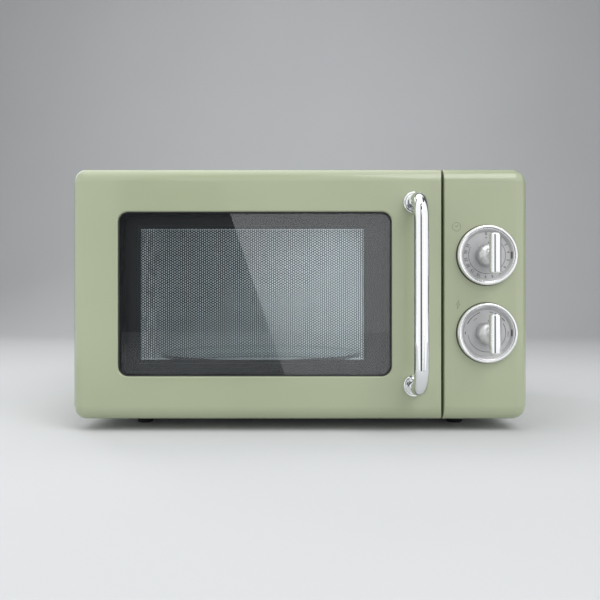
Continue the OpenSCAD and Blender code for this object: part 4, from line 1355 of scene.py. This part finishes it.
@dataclass
class Dial:
    """One dial: the bezel, the printing on its disc, and the knob."""

    name: str
    knob_node: str
    body: Body
    palette: Palette
    centre: Vector
    bezel_r: float = 29.5 * MM
    bezel_h: float = 5.5 * MM
    lip: float = 3.5 * MM
    disc_r: float = 22.9 * MM
    disc_t: float = 1.2 * MM
    dome_r: float = 11.5 * MM
    grip_r: float = 5.5 * MM
    stem_r: float = 5 * MM
    ink: float = 0.06 * MM

    SIDES = 128  # the flats of the bezel's turned pieces

    def ring(self, name: str, profile: Sequence[Pair]) -> Object:
        """Turns a ring round the dial's axis.

        Args:
            name: The ring's name.
            profile: Its closed profile, as radius and height above the panel.

        Returns:
            The ring.
        """
        ring = Bench.turned(name, self.centre, Axis.FRONT, profile, self.SIDES, ring=True)
        return Bench.smooth(ring, 30.0, weighted=False)

    def make_bezel(self) -> Object:
        """Turns the polished lip: undercut at the panel, round at its crown, lapping the slope.

        Returns:
            The bezel.
        """
        r, h = self.bezel_r, self.bezel_h
        inner = r - self.lip
        round_r, round_h, steps = 1.5 * MM, 2.4 * MM, 8
        points = [(inner - 0.4 * MM, 0.05 * MM), (r - 0.7 * MM, 0.05 * MM),
                  (r - 0.7 * MM, 0.7 * MM), (r - 0.25 * MM, 1.0 * MM), (r, 1.4 * MM),
                  (r, h - round_h)]
        for step in range(1, steps):
            a = math.pi / 2 * step / steps
            points.append((r - round_r * (1 - math.cos(a)), h - round_h + round_h * math.sin(a)))
        points += [(r - round_r, h), (inner + 1.0 * MM, h), (inner + 0.4 * MM, h - 0.2 * MM),
                   (inner + 0.1 * MM, h - 0.7 * MM), (inner, h - 1.3 * MM),
                   (inner - 0.4 * MM, h - 1.35 * MM), (inner - 0.4 * MM, 0.05 * MM)]
        return self.ring("bezel", points)

    def make_gasket(self, groove: float) -> Object:
        """Turns a thin black ring round the bezel, in the panel's groove: painted shade for the
        contact shadow between bezel and panel.

        Args:
            groove: How far the panel's groove reaches past the bezel, and how deep it is.

        Returns:
            The ring.
        """
        inner, outer = self.bezel_r - 0.8 * MM, self.bezel_r + groove - 0.05 * MM
        deep, top = 0.05 * MM - groove, -0.15 * MM
        points = [(inner, deep), (outer, deep), (outer, -0.35 * MM), (outer - 0.2 * MM, top),
                  (inner, top), (inner, deep)]
        return self.ring("contact_shade_ring", points)

    def make_cone(self) -> Object:
        """Turns the satin slope between the lip and the disc, with its two shallow steps.

        Returns:
            The slope.
        """
        h, inner, disc = self.bezel_h, self.bezel_r - self.lip, self.disc_r + 0.25 * MM
        foot = 0.06 * MM
        points = [(disc, foot), (inner - 0.45 * MM, foot), (inner - 0.45 * MM, h - 1.5 * MM),
                  (inner - 0.8 * MM, h - 1.7 * MM), (inner - 1.5 * MM, h - 2.6 * MM),
                  (inner - 1.8 * MM, h - 2.7 * MM), (disc + 0.5 * MM, 1.7 * MM),
                  (disc, 1.4 * MM), (disc, foot)]
        return self.ring("cone", points)

    def at(self, angle: float, radius: float, height: float) -> Vector:
        """A point over the disc.

        Args:
            angle: Degrees from the right, turning left as seen from the front.
            radius: Distance from the middle.
            height: Height above the panel's face.

        Returns:
            The point.
        """
        a = math.radians(angle)
        return self.centre + Vector((radius * math.cos(a), -height, radius * math.sin(a)))

    def mark(self, angle: float, radius: float, long: float, wide: float,
             lean: float = 0.0) -> Object:
        """A printed stroke that points outwards.

        Args:
            angle: Where it lies, in degrees.
            radius: Distance of its middle from the dial's middle.
            long: Its length, outwards.
            wide: Its width.
            lean: How far it leans from straight out, in degrees.

        Returns:
            The stroke.
        """
        Bench.clear()
        turn = math.radians(90 - angle - lean)
        place = self.at(angle, radius, self.disc_t + self.ink / 2)
        bpy.ops.mesh.primitive_cube_add(size=1.0, location=place, rotation=(0, turn, 0),
                                        scale=(wide, self.ink, long))
        return Bench.settle(bpy.context.object)

    def arc(self, start: float, stop: float, radius: float, wide: float,
            taper: float = 1.0) -> list[Object]:
        """A printed arc, as a row of short strokes that meet.

        Args:
            start: Where it starts, in degrees.
            stop: Where it stops.
            radius: Its radius.
            wide: Its width at the start.
            taper: Its width at the stop, as a share of the start's.

        Returns:
            The strokes.
        """
        count = max(2, int(abs(stop - start) / 4))
        step = (stop - start) / count
        overlap = 1.06
        strokes = []
        for i in range(count):
            angle = start + step * (i + 0.5)
            width = wide * (1 + (taper - 1) * i / count)
            length = radius * math.radians(abs(step)) * overlap
            strokes.append(self.mark(angle, radius, width, length))
        return strokes

    def numeral(self, text: str, angle: float, radius: float, size: float) -> Object:
        """A printed number, with its top outwards.

        Args:
            text: The number.
            angle: Where it lies, in degrees.
            radius: Distance of its middle from the dial's middle.
            size: Its height, roughly.

        Returns:
            The number as a mesh.
        """
        Bench.clear()
        bpy.ops.object.text_add(location=self.at(angle, radius, self.disc_t + self.ink / 2),
                                rotation=(math.pi / 2, math.radians(90 - angle), 0))
        word = bpy.context.object
        word.data.body = text
        word.data.size = size
        word.data.extrude = self.ink / 2
        word.data.offset = size * 0.012
        word.data.resolution_u = 3
        word.data.align_x, word.data.align_y = "CENTER", "CENTER"
        Bench.alone(word)
        bpy.ops.object.convert(target="MESH")
        return Bench.settle(bpy.context.object)

    def make_hub(self) -> Object:
        """Turns the knob's satin dome, with the stem that reaches through the panel.

        Returns:
            The hub.
        """
        base = self.disc_t + 0.35 * MM
        tail = self.centre.y - Space.of(self.knob_node).high.y
        foot = math.asin(max(-1.0, (base - self.bezel_h) / self.dome_r))
        dome = [(self.stem_r, tail), (self.stem_r, base), (self.dome_r * math.cos(foot), base)]
        steps = 20
        for step in range(steps + 1):
            a = math.radians(-18 + 107 * step / steps)
            height = self.bezel_h + self.dome_r * math.sin(a)
            if height > base + 0.2 * MM:
                dome.append((self.dome_r * math.cos(a), height))
        hub = Bench.turned("hub", self.centre, Axis.FRONT, dome, 96)
        return Bench.smooth(hub, 50.0, weighted=False)

    def make_grip(self) -> Object:
        """Shapes the knob's polished bar and the neck that holds it over the dome.

        Returns:
            The grip.
        """
        space = Space.of(self.knob_node)
        grip_y = space.low.y + self.grip_r
        x, z = self.centre.x, self.centre.z
        start = self.centre.y - self.bezel_h - self.dome_r + 2 * MM
        neck = Bench.drum("neck", (x, start, z), Axis.FRONT, start - grip_y,
                          self.grip_r - 0.6 * MM)
        length = space.size.z
        bar = Bench.drum("bar", (x, grip_y, z - length / 2), Axis.Z, length, self.grip_r, 64)
        Bench.round_edges(bar, lambda a, b: abs(a.z - b.z) < NEAR, 1.8 * MM, 3)
        return Bench.smooth(Bench.joined("grip", [neck, bar]), 35.0)

    def make_pointer(self) -> Object:
        """Shapes the small dark pointer at the top of the dome.

        Returns:
            The pointer.
        """
        Bench.clear()
        place = self.at(90, self.dome_r - 0.4 * MM, self.bezel_h + 0.6 * MM)
        bpy.ops.mesh.primitive_cylinder_add(vertices=3, radius=1.6 * MM, depth=0.7 * MM,
                                            rotation=(math.pi / 2, 0, 0), location=place)
        tip = Bench.settle(bpy.context.object)
        Bench.softened(tip, 0.1 * MM)
        return Bench.smooth(tip)

    def make_tick(self) -> Object:
        """Lays the black tick on the bezel's slope, at three o'clock.

        Returns:
            The tick.
        """
        Bench.clear()
        place = self.at(0, self.disc_r + 1.0 * MM, 2.45 * MM)
        bpy.ops.mesh.primitive_cube_add(size=1.0, location=place,
                                        rotation=(0, 0, math.radians(-48)),
                                        scale=(1.5 * MM, 0.3 * MM, 6.8 * MM))
        return Bench.settle(bpy.context.object)


class TimerDial(Dial):
    """The timer's dial: minutes to thirty-five, with an arc beside them."""

    # each number's angle, in degrees from the right, and its minutes
    NUMBERS = {93: 0, 72: 1, 51: 2, 29.6: 3, 8.6: 4, -13: 5, -34: 6, -55: 7, -76: 8, -94: 9,
               -113: 10, -133: 15, -151: 20, -168.5: 25, -188: 30, -206: 35}

    def printing(self) -> list[Object]:
        """Prints the numbers, the arc and the off mark.

        Returns:
            The strokes and numbers.
        """
        strokes = [self.numeral(str(minute), angle, 20.9 * MM, 3.9 * MM)
                   for angle, minute in self.NUMBERS.items()]
        strokes += self.arc(-206, 60, 18.0 * MM, 0.42 * MM)
        for angle, minute in self.NUMBERS.items():
            if minute:
                strokes.append(self.mark(angle, 18.3 * MM, 0.8 * MM, 0.35 * MM))
        strokes.append(self.mark(93, 17.3 * MM, 1.1 * MM, 1.1 * MM, 45))
        return strokes


class PowerDial(Dial):
    """The power selector's dial: plain marks, tapered arcs, and small signs in place of words."""

    # the angle of each mark, and its width in mm
    LEFT_MARKS = ((153, 1.5), (148, 2.2), (142.5, 1.4), (138, 1.8), (133, 1.2), (127, 2.4),
                  (121, 1.0), (116, 1.7), (111, 1.3))
    RIGHT_MARKS = ((80, 1.9), (75, 0.8), (66, 2.2), (60, 1.2), (42, 2.4), (36, 1.6), (1, 1.8),
                   (-5, 1.2), (-9, 0.8))

    def printing(self) -> list[Object]:
        """Prints the marks and arcs.

        Returns:
            The strokes.
        """
        strokes = self.arc(186, 276, 18.6 * MM, 0.35 * MM, 1.5)
        strokes += self.arc(30, -42, 18.2 * MM, 0.6 * MM, 0.6)
        for marks, radius in ((self.LEFT_MARKS, 21.0 * MM), (self.RIGHT_MARKS, 20.6 * MM)):
            strokes += [self.mark(angle, radius, 0.8 * MM, wide * MM) for angle, wide in marks]
        strokes += [self.mark(angle, 17.6 * MM, 0.9 * MM, 0.9 * MM, 45) for angle in (134, 127)]
        strokes.append(self.mark(180, 21.2 * MM, 0.8 * MM, 2.6 * MM))
        return strokes


@dataclass
class Controls:
    """The two dials, and the signs beside them."""

    palette: Palette
    groove: float = 0.55 * MM
    ink: float = 0.06 * MM

    CLOCK = (153.3 * MM, 201.4 * MM)
    CLOCK_R = 4.2
    CLOCK_HANDS = ((1.6, 1.7), (-1.0, 0.9))
    BOLT = (154.5 * MM, 125.1 * MM)
    BOLT_OUTLINE = ((1.2, 4.2), (-1.8, -0.2), (0.0, -0.2), (-0.6, -4.2), (2.2, 0.6), (0.5, 0.6))

    def __post_init__(self) -> None:
        """Places the dials where the CAD has their knobs."""
        self.face_y = Space.of("dial_plates").high.y
        self.dials: list[Dial] = []
        for kind, name, node, body in ((TimerDial, "timer", "timer_knob", Body.TIMER),
                                       (PowerDial, "power", "power_knob", Body.POWER)):
            middle = Space.of(node).middle
            centre = Vector((middle.x, self.face_y, middle.z))
            self.dials.append(kind(name, node, body, self.palette, centre))

    def stroke(self, start: Pair, stop: Pair, wide: float = 0.3 * MM) -> Object:
        """A printed stroke between two points of the panel.

        Args:
            start: X and Z of its start.
            stop: X and Z of its end.
            wide: Its width.

        Returns:
            The stroke.
        """
        a, b = Vector((start[0], self.face_y, start[1])), Vector((stop[0], self.face_y, stop[1]))
        way = b - a
        Bench.clear()
        bpy.ops.mesh.primitive_cube_add(size=1.0, location=(a + b) / 2,
                                        rotation=(0, math.atan2(way.x, way.z), 0),
                                        scale=(wide, self.ink, way.length + wide * 0.7))
        return Bench.settle(bpy.context.object)

    def outline(self, middle: Pair, points: Sequence[Pair]) -> list[Object]:
        """A closed printed outline.

        Args:
            middle: X and Z of its middle.
            points: Its corners, round the middle, in millimetres.

        Returns:
            The strokes.
        """
        places = [(middle[0] + x * MM, middle[1] + z * MM) for x, z in points]
        return [self.stroke(a, b) for a, b in zip(places, places[1:] + places[:1])]

    def make_signs(self) -> None:
        """Prints the clock sign and the bolt sign on the panel."""
        angles = [i * math.pi / 16 for i in range(32)]
        ring = [(self.CLOCK_R * math.cos(a), self.CLOCK_R * math.sin(a)) for a in angles]
        strokes = self.outline(self.CLOCK, ring)
        x0, z0 = self.CLOCK
        for x, z in self.CLOCK_HANDS:
            strokes.append(self.stroke(self.CLOCK, (x0 + x * MM, z0 + z * MM), 0.4 * MM))
        strokes += self.outline(self.BOLT, self.BOLT_OUTLINE)
        signs = Bench.joined("panel_signs", strokes)
        dress(signs, self.palette["icon"], Slot.BLACK, Body.OVEN)

    def holes(self) -> list[Object]:
        """The tools that cut the panel: a bore for each stem, and the groove of each bezel.

        Returns:
            The tools.
        """
        tools = []
        for dial in self.dials:
            tools.append(Bench.drum("bore", dial.at(0, 0, -6 * MM), Axis.FRONT, 8 * MM,
                                    dial.stem_r + 0.3 * MM))
            inner, outer = dial.bezel_r - 0.9 * MM, dial.bezel_r + self.groove
            low, high = -self.groove, 2 * MM
            profile = [(inner, low), (outer, low), (outer, high), (inner, high), (inner, low)]
            tools.append(Bench.turned("groove", dial.centre, Axis.FRONT, profile, dial.SIDES,
                                      ring=True))
        return tools

    def make_bezels(self) -> None:
        """Makes the rings and ticks of the first dial, and copies them to the second."""
        first, second = self.dials
        shift = second.centre - first.centre
        shapes = (("bezels", first.make_bezel(), "bezel", Slot.CHROME, ("dial_bezels",)),
                  ("bezel_slopes", first.make_cone(), "cone", Slot.CHROME, ()),
                  ("bezel_ticks", first.make_tick(), "print", Slot.BLACK, ()),
                  # the black rings paint the contact shadow round each bezel
                  ("bezel_contact_shades", first.make_gasket(self.groove), "black", Slot.BLACK, ()))
        for name, shape, finish, slot, nodes in shapes:
            pair = Bench.joined(name, [shape, Bench.copied(shape, "twin", shift)])
            dress(pair, self.palette[finish], slot, Body.OVEN, *nodes)

    def make_knobs(self) -> None:
        """Makes the first dial's knob, copies it to the second, and prints both discs."""
        first, second = self.dials
        shift = second.centre - first.centre
        shapes = first.make_hub(), first.make_grip(), first.make_pointer()
        for dial in self.dials:
            parts = shapes
            if dial is second:
                parts = [Bench.copied(part, part.name, shift) for part in shapes]
            for part, use in zip(parts, ("hub", "grip", "pointer")):
                part.name = f"{dial.name}_{use}"
            hub, grip, pointer = parts
            dress(hub, self.palette["satin"], Slot.CHROME, dial.body)
            dress(grip, self.palette["chrome"], Slot.CHROME, dial.body, dial.knob_node)
            dress(pointer, self.palette["print"], Slot.BLACK, dial.body)
            prints = Bench.joined(f"{dial.name}_printing", dial.printing())
            dress(prints, self.palette["print"], Slot.BLACK, Body.OVEN)

    def build(self) -> None:
        """Builds both dials and the signs beside them."""
        self.make_bezels()
        self.make_knobs()
        self.make_signs()


# --- The cabinet and what it holds ---


@dataclass
class Cabinet:
    """The wrapper, back, base, feet and the door's choke cover."""

    palette: Palette
    foot_r: float = 9 * MM

    def soften(self, node: str, finish: str, slot: Slot, body: Body, width: float,
               angle: float = 35.0) -> None:
        """Replaces a CAD node with a copy whose sharp edges are broken.

        Args:
            node: The CAD node.
            finish: The palette's name of its finish.
            slot: Its material slot.
            body: The body it rides on.
            width: The width of the broken edge.
            angle: The least angle that counts as sharp.
        """
        piece = Bench.node_copy(node, f"{node}_soft")
        Bench.softened(piece, width, angle=angle)
        Bench.smooth(piece, 35.0)
        dress(piece, self.palette[finish], slot, body, node)

    def make_feet(self) -> None:
        """Turns the four feet, each with a broken rim and a moulded tread."""
        space = Space.of("feet")
        r, top = self.foot_r, space.high.z
        places = [(x, y) for x in (space.low.x + r, space.high.x - r)
                  for y in (space.low.y + r, space.high.y - r)]
        profile = [(4.5 * MM, 0.6 * MM), (5.0 * MM, 0.0), (7.4 * MM, 0.0), (8.0 * MM, 0.4 * MM),
                   (8.5 * MM, 4.5 * MM), (8.9 * MM, top - 0.6 * MM), (8.6 * MM, top)]
        x0, y0 = places[0]
        first = Bench.turned("foot", (x0, y0, 0.0), Axis.Z, profile, 64)
        others = [Bench.copied(first, f"foot_{i}", (x - x0, y - y0, 0))
                  for i, (x, y) in enumerate(places[1:], 1)]
        whole = Bench.joined("rubber_feet", [first, *others])
        Bench.smooth(whole, 35.0)
        dress(whole, self.palette["rubber"], Slot.RUBBER, Body.OVEN, "feet")

    def build(self) -> None:
        """Builds the outside of the cabinet."""
        self.soften("outer_cabinet", "sage_sheet", Slot.SHEET, Body.OVEN, 0.25 * MM, 40.0)
        self.soften("rear_panel", "sage_sheet", Slot.SHEET, Body.OVEN, 0.25 * MM)
        self.soften("choke_cover", "black", Slot.BLACK, Body.DOOR, 0.8 * MM)
        self.soften("base_plate", "zinc", Slot.ZINC, Body.OVEN, 0.3 * MM)
        self.make_feet()


@dataclass
class Works:
    """The CAD nodes that keep their shape and only get a finish."""

    palette: Palette

    FINISHES = {
        "sage_sheet": ("front_plate",),
        "screen": ("door_inner_panel",),
        "dial": ("dial_plates",),
        "clear": ("turntable_plate", "lamp_bulb"),
        "film": ("screen_film",),
        "enamel": ("cavity_walls", "cavity_floor", "cavity_back"),
        "black": ("cord_inlet", "hv_diode", "power_selector", "interlock_switches",
                  "thermal_cutouts"),
        "white": ("turntable_shaft", "turntable_coupler", "roller_ring", "roller_wheel_1",
                  "roller_wheel_2", "roller_wheel_3", "fan_shroud", "fan_blade",
                  "interlock_bracket", "door_latch"),
        "zinc": ("cabinet_screws", "waveguide", "lamp_holder", "turntable_motor",
                 "magnetron_yoke", "magnetron_filter_box", "capacitor_clamp", "timer_unit",
                 "handle_screws", "hinge_brackets"),
        "brushed": ("fan_shaft", "timer_shaft", "power_shaft", "latch_spring"),
        "core": ("transformer_core", "fan_motor"),
        "aluminium": ("magnetron_fins", "hv_capacitor"),
        "copper": ("transformer_coils", "magnetron_tube"),
        "mica": ("waveguide_cover",),
        "board": ("filter_board",),
    }

    def dress_nodes(self) -> None:
        """Gives each kept CAD node its finish."""
        for finish, nodes in self.FINISHES.items():
            for node in nodes:
                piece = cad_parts[node]
                piece.data.materials.clear()
                piece.data.materials.append(self.palette[finish])
                log.info("%s keeps its shape, in %s", node, finish)


# --- The studio ---


@dataclass(frozen=True)
class SoftBox:
    """A rectangular studio light, aimed at a point."""

    name: str
    place: tuple[float, float, float]
    aim: tuple[float, float, float]
    width: float
    height: float
    radiance: float
    roll: float = 0.0
    tint: Colour = (1.0, 1.0, 1.0)

    def hang(self) -> None:
        """Adds the light, its power worked out from how bright its face is."""
        lamp = bpy.data.lights.new(self.name, "AREA")
        lamp.shape = "RECTANGLE"
        lamp.size, lamp.size_y = self.width, self.height
        lamp.energy = math.pi * self.width * self.height * self.radiance
        lamp.color = self.tint
        holder = bpy.data.objects.new(self.name, lamp)
        bpy.context.scene.collection.objects.link(holder)
        way = (Vector(self.aim) - Vector(self.place)).normalized()
        turn = way.to_track_quat("-Z", "Y").to_matrix().to_4x4()
        roll = Matrix.Rotation(math.radians(self.roll), 4, "Z")
        holder.matrix_world = Matrix.Translation(self.place) @ turn @ roll


@dataclass(frozen=True)
class Paper:
    """Plain matt backdrop paper."""

    name: str
    colour: Colour

    def material(self) -> Material:
        """Builds the material.

        Returns:
            The material.
        """
        mix = Recipe(self.name)
        mix.tone(mix.noise(2.0), shade(self.colour, 0.985), shade(self.colour, 1.01))
        mix.gloss(mix.noise(300.0), 0.82, 0.9, 0.0, 1.0)
        mix.fixed(Specular_IOR_Level=0.2)
        return mix.material


@dataclass
class Studio:
    """A pale table that sweeps up behind the oven, soft lights, and the camera."""

    floor_tone: Colour = (0.62, 0.63, 0.64)
    floor_w: float = 9.0
    floor_deep: float = 2.02
    floor_middle_y: float = 0.5
    sweep_r: float = 0.9
    wall_h: float = 3.0
    apron_deep: float = 1.6
    air: Colour = (0.9, 0.95, 1.0)
    air_strength: float = 0.12
    lens: float = 39.2
    distance: float = 0.640
    eye_z: float = 0.1297

    def flat(self, name: str, middle_y: float, deep: float) -> Object:
        """Lays a flat sheet on the ground, as wide as the studio.

        Args:
            name: The sheet's name.
            middle_y: Where its middle lies along Y.
            deep: How far it runs along Y.

        Returns:
            The sheet.
        """
        Bench.clear()
        bpy.ops.mesh.primitive_plane_add(size=1.0, location=(0, middle_y, 0))
        sheet = bpy.context.object
        sheet.name = name
        sheet.scale = (self.floor_w, deep, 1.0)
        return Bench.settle(sheet)

    def make_floor(self) -> None:
        """Lays the table, and sweeps it up into a backdrop."""
        floor = self.flat("studio_floor", self.floor_middle_y, self.floor_deep)
        near = min(v.co.y for v in floor.data.vertices)
        far = max(v.co.y for v in floor.data.vertices)
        Bench.pick_edges(floor, lambda a, b: abs(a.y - far) < NEAR and abs(b.y - far) < NEAR)
        bpy.ops.mesh.spin(steps=16, angle=math.pi / 2, center=(0, far, self.sweep_r),
                          axis=(-1, 0, 0))
        Bench.extrude((0, 0, self.wall_h))
        bpy.ops.object.mode_set(mode="OBJECT")
        Bench.smooth(floor, 60.0, weighted=False)
        paper = Paper("floor_paper", self.floor_tone).material()
        floor.data.materials.append(paper)
        self.make_apron(near, paper)

    def make_apron(self, edge: float, paper: Material) -> None:
        """Carries the table on towards the viewer, out of the reach of gloss and shadows.

        Args:
            edge: Where the table ends.
            paper: The table's finish.
        """
        apron = self.flat("studio_apron", edge - self.apron_deep / 2, self.apron_deep)
        apron.visible_glossy = apron.visible_diffuse = apron.visible_shadow = False
        apron.data.materials.append(paper)

    def make_lights(self) -> None:
        """Hangs the soft boxes, and lights the cavity."""
        boxes = (
            SoftBox("far_box", (1.009, -4.84, 1.778), (1.009, 0.0, 1.778), 3.6, 5.0, 1.0,
                    roll=18.75),
            SoftBox("right_box", (1.3, -1.27, 1.0), (0.0, -1.27, 1.0), 2.3, 2.6, 1.0),
            SoftBox("left_box", (-0.9, -0.447, 0.85), (0.006, -0.024, 0.85), 1.89, 2.3, 1.0),
            SoftBox("key_box", (0.9, -1.5, 1.9), (0.0, -0.15, 0.13), 1.4, 1.2, 4.4),
            SoftBox("top_box", (-0.2, 0.0, 1.7), (0.0, 0.0, 0.1), 1.8, 1.4, 1.7),
            SoftBox("rim_box", (-1.3, 1.25, 1.15), (-0.2, 0.0, 0.15), 0.6, 1.0, 2.4),
            SoftBox("back_box", (0.0, 0.75, 2.4), (0.0, 2.3, 0.5), 2.4, 1.0, 1.1),
            SoftBox("cavity_light", (0.05, 0.03, 0.232), (0.0, 0.06, 0.04), 0.10, 0.10, 28.0,
                    tint=(0.76, 0.91, 1.0)),
        )
        for box in boxes:
            box.hang()
        world = bpy.data.worlds.new("studio_air")
        bpy.context.scene.world = world
        world.use_nodes = True
        air = world.node_tree.nodes["Background"]
        air.inputs["Color"].default_value = (*self.air, 1.0)
        air.inputs["Strength"].default_value = self.air_strength

    def make_camera(self, face_y: float) -> None:
        """Puts the camera straight in front of the door.

        Args:
            face_y: The door's front plane.
        """
        eye = bpy.data.cameras.new("camera")
        eye.lens = self.lens
        eye.sensor_width = 36.0
        eye.clip_start = 0.01
        holder = bpy.data.objects.new("camera", eye)
        bpy.context.scene.collection.objects.link(holder)
        holder.location = (0.0, face_y - self.distance, self.eye_z)
        holder.rotation_euler = (math.pi / 2, 0, 0)
        bpy.context.scene.camera = holder

    def build(self, face_y: float) -> None:
        """Sets the whole studio up.

        Args:
            face_y: The door's front plane.
        """
        self.make_camera(face_y)
        self.make_floor()
        self.make_lights()
        bpy.context.scene.view_settings.view_transform = "Standard"


def main() -> None:
    """Builds the studio and every sub-assembly, in order."""
    logging.basicConfig(level=logging.INFO, format="%(name)s: %(message)s")
    palette = Palette()
    Studio().build(Space.of("door_frame").low.y)
    window = Window(palette)
    openings = [window.opening(), *window.hinge_slots(), *window.screw_holes()]
    MouldedFront("door_front", "door_frame", Body.DOOR, True, palette, rear_round=6 * MM,
                 openings=openings).build()
    window.build()
    BarHandle(palette).build()
    controls = Controls(palette)
    MouldedFront("panel_front", "control_panel", Body.OVEN, False, palette, front_wall=3 * MM,
                 openings=controls.holes()).build()
    controls.build()
    Cabinet(palette).build()
    Works(palette).dress_nodes()


if __name__ == "__main__":
    main()
